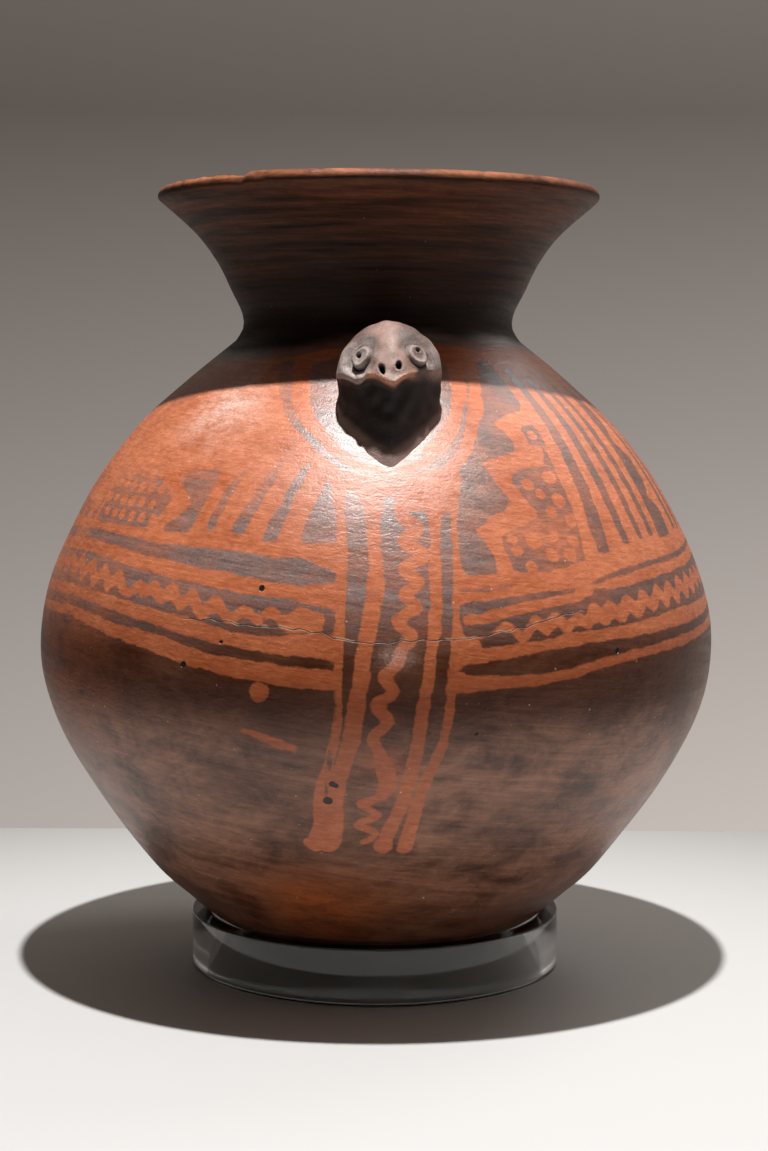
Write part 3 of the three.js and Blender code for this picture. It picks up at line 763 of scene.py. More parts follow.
    @staticmethod
    def _faded(turn: Array, height: Array) -> Array:
        """How far the painting has been rubbed away, from 0 to 1.

        Args:
            turn: Vertex turns in degrees.
            height: Vertex heights.

        Returns:
            The share of the painting that is lost at each vertex.
        """
        faded = 0.5 * soft_step(-turn, 15, 24) * soft_step(height, 154, 168) * (turn > -120)
        faded += 0.5 * soft_step(-turn, 26, 42) * soft_step(height, 158, 180) * (turn > -120)
        faded += 0.4 * soft_step(-turn, 42, 66) * soft_step(height, 112, 128) * (turn > -110)
        net = soft_step(-turn, 40, 44) * (1 - soft_step(-turn, 60, 66)) * (1 - soft_step(height, 172, 180))
        faded *= 1 - 0.6 * net * (height > 150)
        faded += 0.5 * blot(turn, height, (30, 158), (9, 22))
        tops = soft_step(height, 168, 179) * (1 - soft_step(height, 182, 185))
        faded += 0.7 * tops * soft_step(-turn, 15, 17) * (turn > -60)
        faded += 0.8 * blot(turn, height, (1.5, 87), (3.6, 4.5))
        faded += 0.35 * soft_step(np.abs(turn), 100, 150)
        return np.clip(faded * (height < 206), 0, 1)

    @staticmethod
    def _crack(turn: Array, height: Array, line: Points) -> Array:
        """Height above a crack that runs round the wall, in millimetres."""
        drawn = smooth_path(line, 5)
        jitter = 0.25 * np.sin(turn * 2.1) + 0.18 * np.sin(turn * 5.3 + 1)
        return height - np.interp(turn, drawn[:, 0], drawn[:, 1]) - jitter


# name, tilt in radians, stretch and scale per millimetre, detail, roughness, distortion; the pebble's
# facets come out about 5 mm long and 1.5 mm high, its streaks 40 mm by 2 mm, its lines half as fine
WALL_NOISES = (
    ("facets", 0.0, (0.3, 0.3, 0.75), 1.0, 4.0, 0.62, 0.5),
    ("streaks", -0.15, (0.025, 0.035, 0.55), 1.0, 5.0, 0.68, 0.2),
    ("lines", -0.12, (0.07, 0.07, 1.5), 1.0, 6.0, 0.75, 0.4),
    ("level", 0.0, (0.018, 0.018, 0.4), 1.0, 5.0, 0.65, 0.0),
    ("cloud", 0.0, (0.045, 0.045, 0.075), 1.0, 8.0, 0.72, 0.3),
    ("broad", 0.0, None, 0.022, 3.0, 0.55, 0.0),
    ("grain", 0.0, None, 1.3, 4.0, 0.65, 0.0),
    ("wobble", 0.0, None, 0.25, 2.0, 0.5, 0.0),
)

# turn, height and radius of the pits where a grain has sprung from the wall
PITS = (
    (-8.0, 74.5, 1.1), (-7.0, 80.2, 0.6), (-6.4, 79.6, 0.5), (-18.0, 138.6, 0.8), (-30.5, 115.0, 1.0),
    (40.0, 118.6, 0.7), (-24.0, 122.6, 0.6), (15.5, 96.0, 0.5), (150.0, 128.0, 0.9), (-140.0, 96.0, 0.8),
)


@dataclass(frozen=True)
class BurnishedSlip:
    """Low-fired red earthenware, slipped, rubbed with a pebble and smoked over a resist.

    The pebble leaves a satin gloss in short level facets; smoke turns the slip brown-black
    except where the resist kept it red. Grain and facets are a little coarser than life.
    """

    red: str = "C5714B"
    red_deep: str = "AE5B36"
    red_light: str = "D18C6A"
    red_low: str = "9E4C22"
    smoke: str = "5C423A"
    # the smoke's pale tone, partly a painted sheen where the lamp's highlight lies
    smoke_milky_sheen: str = "947D76"
    low_dark: str = "431D08"
    low_brown: str = "96654C"
    ember: str = "96491C"
    # colour of the dust and of the painted sheen below the head
    dust_and_sheen: str = "D8B4A6"
    temper: str = "E2D6C6"
    bare: str = "94583A"
    bare_dark: str = "5A301C"
    neck_dark: str = "150B07"
    neck_brown: str = "6B3F29"
    inside_dark: str = "2A1D18"
    inside_brown: str = "5A3E31"
    pit: str = "180E0A"
    hairline: str = "1E120E"
    chalk: str = "CFA985"
    roughness: float = 0.36
    ior: float = 1.5

    def make(self) -> bpy.types.Material:
        """Builds the material.

        Returns:
            The material, reading the painting stored on the wall.
        """
        material, g = new_graph("burnished_slip")
        m = self._maps(g)
        kept = self._kept(g, m)
        slip = g.add("MixRGB", kept, self._dark(g, m), self._red(g, m))
        # pale haze laid on the slip: dust, and in front below the head a painted sheen
        dust_sheen_mask = g.add("MapRange", m["grain"], 0.38, 0.7, 0.25)
        dust_sheen_mask = g.add("Math", dust_sheen_mask, g.add("MapRange", m["cloud"], 0.36, 0.56), operation="MULTIPLY")
        dust_sheen_mask = g.add("Math", dust_sheen_mask, m["wear_and_sheen"]["X"], operation="MULTIPLY", use_clamp=True)
        for place, colour in (
            (m["zone"]["X"], self._neck(g, m)),
            (m["zone"]["Y"], self._between(g, m["streaks"], 0.35, 0.7, self.inside_dark, self.inside_brown)),
            (m["wear_and_sheen"]["Z"], self._between(g, m["cloud"], 0.4, 0.6, self.bare_dark, self.bare)),
            (dust_sheen_mask, srgb(self.dust_and_sheen)),
        ):
            slip = g.add("MixRGB", place, slip, colour)
        lines = g.add("MapRange", m["lines"], 0.3, 0.7, 0.74, 1.2)
        mottle = g.add("MapRange", m["facets"], 0.3, 0.7, 0.84, 1.12)
        lines = g.add("Math", lines, mottle, operation="MULTIPLY")
        slip = g.add("VectorMath", slip, Scale=lines, operation="SCALE")
        slip = g.add("MixRGB", self._speckled(g, m), slip, srgb(self.temper))
        hair, chalk = self._cracked(g, m)
        pit = self._pitted(g, m)
        for place, code in ((hair, self.hairline), (chalk, self.chalk), (pit, self.pit)):
            slip = g.add("MixRGB", place, slip, srgb(code))

        # the dust with its painted sheen, the soot of the neck and the inside, which was only wiped, are
        # duller
        rough = g.add("MapRange", m["streaks"], 0.3, 0.72, self.roughness - 0.07, self.roughness + 0.1)
        for place, more in ((dust_sheen_mask, 0.3), (m["zone"]["X"], 0.16), (m["zone"]["Y"], 0.35)):
            rough = g.add("Math", place, more, rough, operation="MULTIPLY_ADD")
        relief = g.add("Math", m["facets"], 0.16, operation="MULTIPLY")
        for texture, height in ((m["streaks"], 0.08), (m["grain"], 0.1), (hair, -0.3), (pit, -0.5)):
            relief = g.add("Math", texture, height, relief, operation="MULTIPLY_ADD")
        shader = g.add(
            "BsdfPrincipled", Base_Color=slip, Roughness=rough, IOR=self.ior,
            Specular_IOR_Level=self._sheen(g, m, kept),
            Normal=g.add("Bump", Strength=1.0, Distance=MM, Height=relief),
        )
        g.add("OutputMaterial", shader, out="node")
        return material

    @staticmethod
    def _maps(g: Graph) -> Dict[str, Any]:
        """Adds the noises and the stored marks that the rest is drawn from.

        Args:
            g: The material's nodes.

        Returns:
            The sockets by name; a stored mark has three, called X, Y and Z.
        """
        mm = g.add("VectorMath", g.add("TexCoord", out="Object"), Scale=1 / MM, operation="SCALE")
        height = g.add("SeparateXYZ", mm, out="Z")
        belt = g.add("MapRange", height, 88.0, 106.0, 1.0, 0.25, interpolation_type="SMOOTHSTEP")
        maps: Dict[str, Any] = {"mm": mm, "height": height, "belt": belt}
        for name, tilt, stretch, scale, detail, roughness, distortion in WALL_NOISES:
            place = mm
            if tilt:
                place = g.add("Mapping", Vector=place, Rotation=(0.0, tilt, 0.0))
            if stretch:
                place = g.add("Mapping", Vector=place, Scale=stretch)
            maps[name] = g.add(
                "TexNoise", Vector=place, Scale=scale, Detail=detail, Roughness=roughness,
                Distortion=distortion,
            )
        for name in ("smoked", "reserved", "ground", "wear_and_sheen", "zone", "cracks"):
            maps[name] = g.stored(name)
        return maps

    @staticmethod
    def _between(g: Graph, noise: Any, low: float, high: float, first: str, second: str) -> Any:
        """A colour that goes from the first to the second as a noise goes from low to high."""
        return g.add("MixRGB", g.add("MapRange", noise, low, high), srgb(first), srgb(second))

    def _red(self, g: Graph, m: Dict[str, Any]) -> Any:
        """The slip's colour where the resist kept it red, deeper below the bands."""
        red = self._between(g, m["cloud"], 0.35, 0.62, self.red_deep, self.red)
        red = g.add("MixRGB", g.add("MapRange", m["facets"], 0.45, 0.8, 0.0, 0.3), red, srgb(self.red_light))
        deep = g.add("MapRange", m["height"], 98.0, 136.0, 0.8, 0.0, interpolation_type="SMOOTHSTEP")
        deep = g.add("Math", deep, g.add("MapRange", m["height"], 66.0, 96.0, 0.3, 1.0), operation="MULTIPLY")
        return g.add("MixRGB", deep, red, srgb(self.red_low))

    def _dark(self, g: Graph, m: Dict[str, Any]) -> Any:
        """The smoked slip's colour: a pale haze in the bands, partly a painted sheen, brown below them, with
        reddish patches.
        """
        milky_sheen = g.add("MapRange", m["grain"], 0.3, 0.78, 0.0, 0.6)
        haze = g.add("MapRange", m["streaks"], 0.3, 0.7, -0.1, 0.5)
        milky_sheen = g.add("Math", milky_sheen, haze, operation="ADD", use_clamp=True)
        # the pale haze, partly a painted sheen of the lamp, is thickest on the left and in the middle, thin
        # on the right flank
        flank = g.add("SeparateXYZ", m["mm"], out="X")
        flank = g.add("MapRange", flank, 12.0, 62.0, 1.0, 0.2, interpolation_type="SMOOTHSTEP")
        milky_sheen = g.add("Math", milky_sheen, flank, operation="MULTIPLY")
        dark = g.add("MixRGB", milky_sheen, srgb(self.smoke), srgb(self.smoke_milky_sheen))
        dark = g.add("MixRGB", g.add("MapRange", m["cloud"], 0.42, 0.64, 0.0, 0.5), dark, srgb(self.red_deep))
        # darkest in a belt under the bands, browner below it and dark again at the foot
        low = g.add("MapRange", m["cloud"], 0.36, 0.62)
        low = g.add("Math", low, g.add("MapRange", m["broad"], 0.36, 0.56, 0.55), operation="MULTIPLY")
        drawn = g.add("MapRange", m["streaks"], 0.36, 0.7, -0.12, 0.3)
        low = g.add("Math", drawn, low, operation="ADD", use_clamp=True)
        for share in (m["belt"], g.add("MapRange", m["height"], 24.0, 62.0, 0.4, 1.0)):
            low = g.add("Math", low, share, operation="MULTIPLY")
        low = g.add("MixRGB", low, srgb(self.low_dark), srgb(self.low_brown))
        dark = g.add("MixRGB", m["zone"]["Z"], dark, low)
        ember = g.add("MapRange", m["cloud"], 0.36, 0.56, 0.15)
        ember = g.add("Math", m["wear_and_sheen"]["Y"], ember, operation="MULTIPLY")
        return g.add("MixRGB", ember, dark, srgb(self.ember))

    def _neck(self, g: Graph, m: Dict[str, Any]) -> Any:
        """The neck's colour: smoked, nearly black at the waist and browner towards the rim."""
        brown = g.add("MapRange", m["level"], 0.34, 0.66)
        rise = g.add("MapRange", m["height"], 222.0, 262.0, 0.12, 1.0)
        brown = g.add("Math", brown, rise, operation="MULTIPLY")
        return g.add("MixRGB", brown, srgb(self.neck_dark), srgb(self.neck_brown))

    @staticmethod
    def _sheen(g: Graph, m: Dict[str, Any], kept: Any) -> Any:
        """The strength of the gloss: closest on the shoulder, dullest inside and on the neck."""
        sheen = g.add("MapRange", kept, 0.0, 1.0, 0.9, 0.6)
        lower = g.add("MapRange", m["belt"], 0.25, 1.0, 0.2, 0.5)
        for place, other in ((m["zone"]["Z"], lower), (m["zone"]["X"], 0.16), (m["zone"]["Y"], 0.12)):
            sheen = g.add("MapRange", place, 0.0, 1.0, sheen, other)
        return sheen

    @staticmethod
    def _kept(g: Graph, m: Dict[str, Any]) -> Any:
        """Puts the stored marks together and rubs the painting thin where it has faded.

        Args:
            g: The material's nodes.
            m: The wall's maps.

        Returns:
            A socket that is 1 where the slip stays red and 0 where it is dark.
        """
        deepest: List[Any] = []
        for name in ("smoked", "reserved"):
            best = g.add("Math", m[name][0], m[name][1], operation="MAXIMUM")
            deepest.append(g.add("Math", best, m[name][2], operation="MAXIMUM"))
        not_dark = g.add("Math", deepest[0], -1.0, operation="MULTIPLY")
        red = g.add("Math", m["ground"]["X"], not_dark, operation="MINIMUM")
        red = g.add("Math", red, deepest[1], operation="MAXIMUM")
        not_late = g.add("Math", m["ground"]["Y"], -1.0, operation="MULTIPLY")
        red = g.add("Math", red, not_late, operation="MINIMUM")
        # a brush's edge is uneven by up to 0.9 mm, and by 0.3 mm more with the grain
        for noise, width in ((m["wobble"], 0.9), (m["grain"], 0.3)):
            shift = g.add("MapRange", noise, 0.0, 1.0, -width, width, clamp=False)
            red = g.add("Math", red, shift, operation="ADD")
        painted = g.add("MapRange", red, -0.35, 0.4, interpolation_type="SMOOTHSTEP")
        fade = m["ground"]["Z"]
        rub = g.add("Math", g.add("MapRange", m["cloud"], 0.36, 0.6), fade, operation="MULTIPLY")
        rub = g.add("Math", fade, 0.45, rub, operation="MULTIPLY_ADD", use_clamp=True)
        return g.add("Math", painted, rub, operation="MAXIMUM")

    @staticmethod
    def _speckled(g: Graph, m: Dict[str, Any]) -> Any:
        """Crushed temper: pale grains of a third of a millimetre, some 4 mm apart."""
        grains = g.add("TexVoronoi", Vector=m["mm"], Scale=0.26, Randomness=1.0, out="node")
        size = g.add("SeparateColor", grains.outputs["Color"], out="node").outputs
        speck = g.add("Math", size[0], 0.085, operation="MULTIPLY")
        speck = g.add("Math", grains.outputs["Distance"], speck, operation="LESS_THAN")
        for share in (size[1], g.add("MapRange", m["zone"]["X"], 0.0, 1.0, 0.6, 0.12)):
            speck = g.add("Math", speck, share, operation="MULTIPLY")
        return speck

    @staticmethod
    def _pitted(g: Graph, m: Dict[str, Any]) -> Any:
        """Places the pits.

        Args:
            g: The material's nodes.
            m: The wall's maps.

        Returns:
            A socket that is 1 inside a pit.
        """
        path = Vessel().outside()
        ragged = g.add("MapRange", m["wobble"], 0.0, 1.0, -0.9, 0.9, clamp=False)
        inside: Any = 0.0
        for turn, height, size in PITS:
            radius = float(np.interp(height, path[:, 1], path[:, 0])) - 0.3
            a = math.radians(turn)
            middle = (radius * math.sin(a), -radius * math.cos(a), height)
            far = g.add("VectorMath", m["mm"], middle, operation="DISTANCE", out="Value")
            far = g.add("Math", far, ragged, operation="ADD")
            here = g.add("MapRange", far, size + 0.25, size)
            inside = g.add("Math", here, inside, operation="MAXIMUM")
        return inside

    @staticmethod
    def _cracked(g: Graph, m: Dict[str, Any]) -> Tuple[Any, Any]:
        """Draws the hairline cracks and the chalk along their upper edge.

        Args:
            g: The material's nodes.
            m: The wall's maps.

        Returns:
            Sockets that are near 1 in a crack and on its chalk.
        """
        crack = m["cracks"]
        first, second = (g.add("Math", crack[axis], operation="ABSOLUTE") for axis in "XY")
        hair = g.add("MapRange", g.add("Math", first, second, operation="MINIMUM"), 0.22, 0.08, 0.0, 0.85)
        hair = g.add("Math", hair, crack["Z"], operation="MULTIPLY")
        above = g.add("Math", g.add("Math", crack["X"], 0.3, operation="SUBTRACT"), operation="ABSOLUTE")
        chalk = g.add("MapRange", m["wobble"], 0.5, 0.62, 0.0, 0.6)
        for share in (g.add("MapRange", above, 0.42, 0.15), crack["Z"]):
            chalk = g.add("Math", chalk, share, operation="MULTIPLY")
        return hair, chalk


# The head


@dataclass
class AnimalHead:
    """The small head on the shoulder: domed brow, pointed beak over a drawn-in throat."""

    wall: Vessel
    turn: float = 2.7
    axis_radius: float = 76.5
    jaw_height: float = 199.0
    crown_height: float = 218.7
    half_width: float = 16.4
    beak_reach: float = 16.3
    beak_power: float = 1.42
    throat_reach: float = 12.3
    throat_power: float = 1.32
    undercut: float = 1.6
    back_reach: float = 19.0
    throat_height: float = 168.0
    root_depth: float = 3.0
    flare: float = 2.4
    segments: int = 288
    rings: int = 210

    def section(self, height: Array) -> Tuple[Array, Array, Array, Array]:
        """Half-width, reach to the front and back, and roundness in plan, at given heights."""
        t = np.clip((height - self.jaw_height) / (self.crown_height - self.jaw_height), 0, 1)
        under = soft_step(self.jaw_height - height, -1.6, self.undercut)
        slim = np.clip((self.jaw_height - height) / (self.jaw_height - self.throat_height), 0, 1)
        width = self.half_width * np.sqrt(1 - t**2) * (1 - 0.02 * under) - 2.6 * slim
        front = self.beak_reach * (1 - t) ** 0.6
        front = front + (self.throat_reach - self.beak_reach) * under
        back = self.back_reach * np.sqrt(1 - t**2)
        power = self.beak_power + (2 - self.beak_power) * t + (self.throat_power - self.beak_power) * under
        return width, front, back, power

    @staticmethod
    def lift(x: Array) -> Array:
        """How far the edge of the beak and cheeks rises to either side; the right rises more."""
        right = 4.2 * (1 - np.exp(-np.clip(x - 1, 0, 20) / 4.5))
        left = 2.4 * soft_step(1 - x, 0.0, 7.5) - 1.9 * np.exp(-(((x + 10) / 2.2) ** 2))
        return np.where(x > 1, right, left)

    def face_reach(self, x: float, height: float) -> float:
        """How far the face stands before the head's own axis."""
        width, front, _, power = (float(v) for v in self.section(np.array(height)))
        return front * max(0.0, 1 - (abs(x) / width) ** power) ** (1 / power)

    def spot(self, x: float, height: float) -> Tuple[Array, Array, Array, Array]:
        """A place on the face with its outward, sideways and upward directions.

        Args:
            x: Sideways place, in millimetres.
            height: Height above the floor.

        Returns:
            The place and the three directions, before the head is turned to its side.
        """
        step = 0.5
        across = (self.face_reach(x + step, height) - self.face_reach(x - step, height)) / (2 * step)
        upward = (self.face_reach(x, height + step) - self.face_reach(x, height - step)) / (2 * step)
        place = np.array([x, -self.axis_radius - self.face_reach(x, height), height])
        out = np.array([-across, -1.0, -upward])
        out /= np.linalg.norm(out)
        side = np.cross(out, [0, 0, -1.0])
        side /= np.linalg.norm(side)
        return place, out, side, np.cross(out, side)

    def build(self) -> bpy.types.Object:
        """Models the head.

        Returns:
            The finished piece, rooted a little way into the wall.
        """
        start_clean()
        bpy.ops.mesh.primitive_uv_sphere_add(segments=self.segments, ring_count=self.rings, radius=1.0)
        piece = bpy.context.active_object
        piece.name = piece.data.name = "animal_head"
        ball = coordinates(piece) * MM
        places = self._raise(ball)
        set_coordinates(piece, places)
        bpy.ops.object.shade_smooth()
        normals = np.empty(len(places) * 3)
        piece.data.vertex_normals.foreach_get("vector", normals)
        push, recess_shade, lit = self._features(places)
        places = places + normals.reshape(-1, 3) * push[:, None]
        places, foot = self._root(places)
        a = math.radians(self.turn)
        x, y = places[:, 0].copy(), places[:, 1].copy()
        places[:, 0] = x * math.cos(a) - y * math.sin(a)
        places[:, 1] = x * math.sin(a) + y * math.cos(a)
        set_coordinates(piece, places)
        pick(piece)
        bpy.ops.object.mode_set(mode="EDIT")
        bpy.ops.mesh.select_all(action="SELECT")
        bpy.ops.mesh.normals_make_consistent(inside=False)
        bpy.ops.object.mode_set(mode="OBJECT")
        # features: painted shade in holes and trenches, the worn beak edge, the throat's painted shade; tone:
        # the bridge, the foot, the pale rubbed parts with painted highlights
        store(piece, "features", np.stack([recess_shade, lit[0], lit[1]], 1))
        store(piece, "tone", np.stack([lit[2], foot, lit[3]], 1))
        return piece

    def _raise(self, ball: Array) -> Array:
        """Draws a ball out into the head's plain form.

        Args:
            ball: Places on a ball of radius 1.

        Returns:
            The places on the head, in millimetres.
        """
        level = np.arccos(np.clip(ball[:, 2], -1, 1)) / math.pi
        turn = np.arctan2(ball[:, 0], -ball[:, 1])
        brow = np.clip(level / 0.5, 0, 1)
        height = self.jaw_height + (self.crown_height - self.jaw_height) * np.cos(brow * math.pi / 2)
        below = np.clip((level - 0.5) / 0.44, 0, 1)
        drop = self.jaw_height - self.throat_height
        height -= drop * (0.35 * below + 0.65 * below**2)
        width, front, back, power = self.section(height)
        rim = np.sin(np.clip(level / 0.5, 0, 1) * math.pi / 2)
        t = np.clip((height - self.jaw_height) / (self.crown_height - self.jaw_height), 0, 1)
        width = np.where(level < 0.5, self.half_width * rim, width)
        back = np.where(level < 0.5, self.back_reach * rim, back)
        closing = 1 - soft_step(level, 0.94, 1.0) * 0.999
        side, ahead = np.sin(turn), np.cos(turn)
        bend = np.where(ahead > 0, 2 / power, 1.0)
        x = width * np.sign(side) * np.abs(side) ** bend * closing
        y = -np.where(ahead > 0, front, -back) * np.abs(ahead) ** bend * closing
        lifted = soft_step(height, self.jaw_height - 6, self.jaw_height + 1.0) * (1 - t) ** 1.5
        height = height + self.lift(x) * lifted
        return np.stack([x, y - self.axis_radius, height], 1)

    def _features(self, places: Array) -> Tuple[Array, Array, Tuple[Array, ...]]:
        """Works out eyes, nostrils, brow and cheeks as pushes along the surface's normal.

        Args:
            places: The plain head's places.

        Returns:
            The pushes in millimetres, how much painted shade each place gets in the eye trenches, pupils,
            nostrils and brow hollows, and the masks of the worn beak edge, the throat's painted shade,
            the reddish bridge and the pale parts, rubbed on the cheeks and painted highlights on eye rings,
            brow ridge and beak.
        """
        push = np.zeros(len(places))
        recess_shade = np.zeros(len(places))
        pale = np.zeros(len(places))
        x, height = places[:, 0], places[:, 2]
        ahead = soft_step(-self.axis_radius - places[:, 1], -9.0, -3.0)
        for spot_x, spot_height, lean, hole_x, hole_up, size in (
            (-9.1, 207.6, -34.0, -0.8, 0.5, 1.0), (8.1, 208.3, 40.0, 0.2, 1.5, 0.8),
        ):
            place, out, side, up = self.spot(spot_x, spot_height)
            away = places - place
            near = np.abs(away @ out) < 6
            a = math.radians(lean)
            across, along = away @ side, away @ up
            u = across * math.cos(a) + along * math.sin(a)
            v = -across * math.sin(a) + along * math.cos(a)
            ring = np.hypot(u * 0.98, v * 0.8)
            below = 0.7 - 0.4 * np.clip(v / 3.0, -1, 1)
            pupil = np.hypot(across - hole_x, along - hole_up) / size
            lens = 0.6 * ridge(ring, 2.35, 0.7) + 0.15 * (1 - soft_step(ring, 1.2, 2.6))
            trench = -1.1 * ridge(ring, 3.3, 0.42) * below
            socket = -0.8 * ridge(ring, 4.4, 1.4) * below
            hole = -1.6 * (1 - soft_step(pupil, 0.5, 1.0))
            push += near * (lens + trench + socket + hole)
            # painted shade: the pupil and the lower half of the trench round the eye are darkened
            recess_shade = np.maximum(recess_shade, near * (1 - soft_step(pupil, 0.6, 1.0)))
            recess_shade = np.maximum(recess_shade, near * 0.85 * below * ridge(ring, 3.3, 0.42))
            # painted highlight on the raised ring round the eye
            pale = np.maximum(pale, near * ridge(ring, 2.3, 0.7))
        for spot_x, spot_height, lean, wide, long, taper in (
            (-2.8, 203.8, 24.0, 0.95, 1.9, 0.16), (2.1, 205.1, -6.0, 0.95, 1.5, -0.16),
        ):
            place, out, side, up = self.spot(spot_x, spot_height)
            away = places - place
            a = math.radians(lean)
            u = away @ side * math.cos(a) + away @ up * math.sin(a)
            v = -(away @ side) * math.sin(a) + away @ up * math.cos(a)
            drop = np.hypot(u / (wide * (1.0 + taper * np.clip(v, -2.5, 2.5))), v / long)
            near = np.abs(away @ out) < 5
            push += near * (-2.6 * (1 - soft_step(drop, 0.5, 1.05)) + 0.1 * ridge(drop, 1.4, 0.3))
            # painted shade inside the nostril
            recess_shade = np.maximum(recess_shade, near * (1 - soft_step(drop, 0.75, 1.08)))
        for side_x in (-6.4, 6.8):
            hollow = blot(x, height, (side_x, 213.0), (2.4, 2.0))
            push -= 0.45 * hollow * ahead
            # painted shade in the brow hollow
            recess_shade = np.maximum(recess_shade, 0.25 * hollow * ahead)
        rise = self.lift(x)
        for side_x, size in ((-11.0, 1.0), (11.5, 0.2)):
            pad = blot(x, height - rise, (side_x, 200.6), (3.6, 1.5))
            push += size * 0.8 * pad * (1 + 0.5 * np.sin(x * 1.9 + height)) * ahead
            pale = np.maximum(pale, 0.8 * size * pad * ahead)
        push += 0.3 * blot(x, height, (0.0, 211.0), (2.0, 4.5)) * ahead
        # painted highlight along the middle of the brow ridge
        pale = np.maximum(pale, 0.6 * blot(x, height, (0.3, 211.0), (1.4, 5.0)) * ahead)
        dice = np.random.default_rng(11)
        for _ in range(30):
            wave = dice.normal(size=3)
            wave *= dice.uniform(0.4, 1.5) / np.linalg.norm(wave)
            push += 0.04 * np.sin(places @ wave + dice.uniform(0, 6.3))
        cheek = soft_step(-x, 5.0, 9.0) * (1 - soft_step(height, 209, 214)) + 0.6 * soft_step(x, 10.5, 13.5)
        pale = np.maximum(pale, 0.95 * np.clip(cheek, 0, 1) * ahead)
        # painted highlight on the beak's front
        pale = np.maximum(pale, 0.7 * blot(x, height, (0.0, 201.6), (5.5, 2.4)) * ahead)
        # painted shade: darker spots on the crown's right, beside the left eye and right of the beak, taken
        # off the pale parts and the bridge
        shade = blot(x, height, (5.8, 214.0), (3.6, 3.2))
        shade += 0.8 * blot(x, height, (-5.0, 211.5), (2.2, 2.4))
        shade += 0.8 * blot(x, height, (9.5, 203.0), (3.0, 1.8))
        pale = pale * (1 - np.clip(shade, 0, 1))
        edge = ridge(height - rise, self.jaw_height + 0.9, 1.0) * ahead
        edge *= 1 - soft_step(np.abs(x), 6.5, 9.0)
        # painted shade: everything just below the beak's edge is darkened as the throat, more gradually on
        # the right
        blur = soft_step(x, 4.0, 9.0)
        throat = 1 - soft_step(height - rise, self.jaw_height - 0.4 - 3.6 * blur, self.jaw_height + 0.4)
        bridge = ridge(x, 0.0, 7.5) * soft_step(height, 198, 203) * ahead - 1.2 * np.clip(shade, 0, 1)
        return push, recess_shade, (edge, throat, bridge, pale)

    def _root(self, places: Array) -> Tuple[Array, Array]:
        """Flares the foot of the head into the shoulder and ends it inside the wall.

        Args:
            places: The head's places.

        Returns:
            The places with the foot drawn out and nothing deeper than the root, and how near
            the wall each place lies, from 0 to 1.
        """
        path = self.wall.outside()
        path = path[path[:, 1] > 120]
        way = np.gradient(path, axis=0)
        way /= np.linalg.norm(way, axis=1)[:, None]
        normal = np.stack([way[:, 1], -way[:, 0]], 1)
        radius = np.hypot(places[:, 0], places[:, 1])
        flat = np.stack([radius, places[:, 2]], 1)
        nearest = np.empty(len(flat), int)
        for start in range(0, len(flat), 4000):
            part = flat[start : start + 4000]
            nearest[start : start + 4000] = np.argmin(((part[:, None, :] - path[None]) ** 2).sum(2), axis=1)
        out = normal[nearest]
        above = ((flat - path[nearest]) * out).sum(1)
        turned = places[:, :2] / radius[:, None]
        outward = np.concatenate([turned * out[:, :1], out[:, 1:]], 1)
        away = np.stack([places[:, 0], places[:, 1] + self.axis_radius - 4, np.zeros(len(places))], 1)
        away /= np.maximum(np.linalg.norm(away, axis=1), 1e-6)[:, None]
        tip = np.clip(-away[:, 1], 0, 1) ** 8
        away -= outward * (away * outward).sum(1)[:, None]
        reach = np.clip(self.flare - above, 0, self.flare + 1.0)
        places = places + away * (0.2 * (1 + 4.0 * tip) * reach**2 / self.flare)[:, None]
        sink = np.minimum(above + self.root_depth, 0)
        return places - outward * sink[:, None], 1 - soft_step(above, 0.4, 2.6)


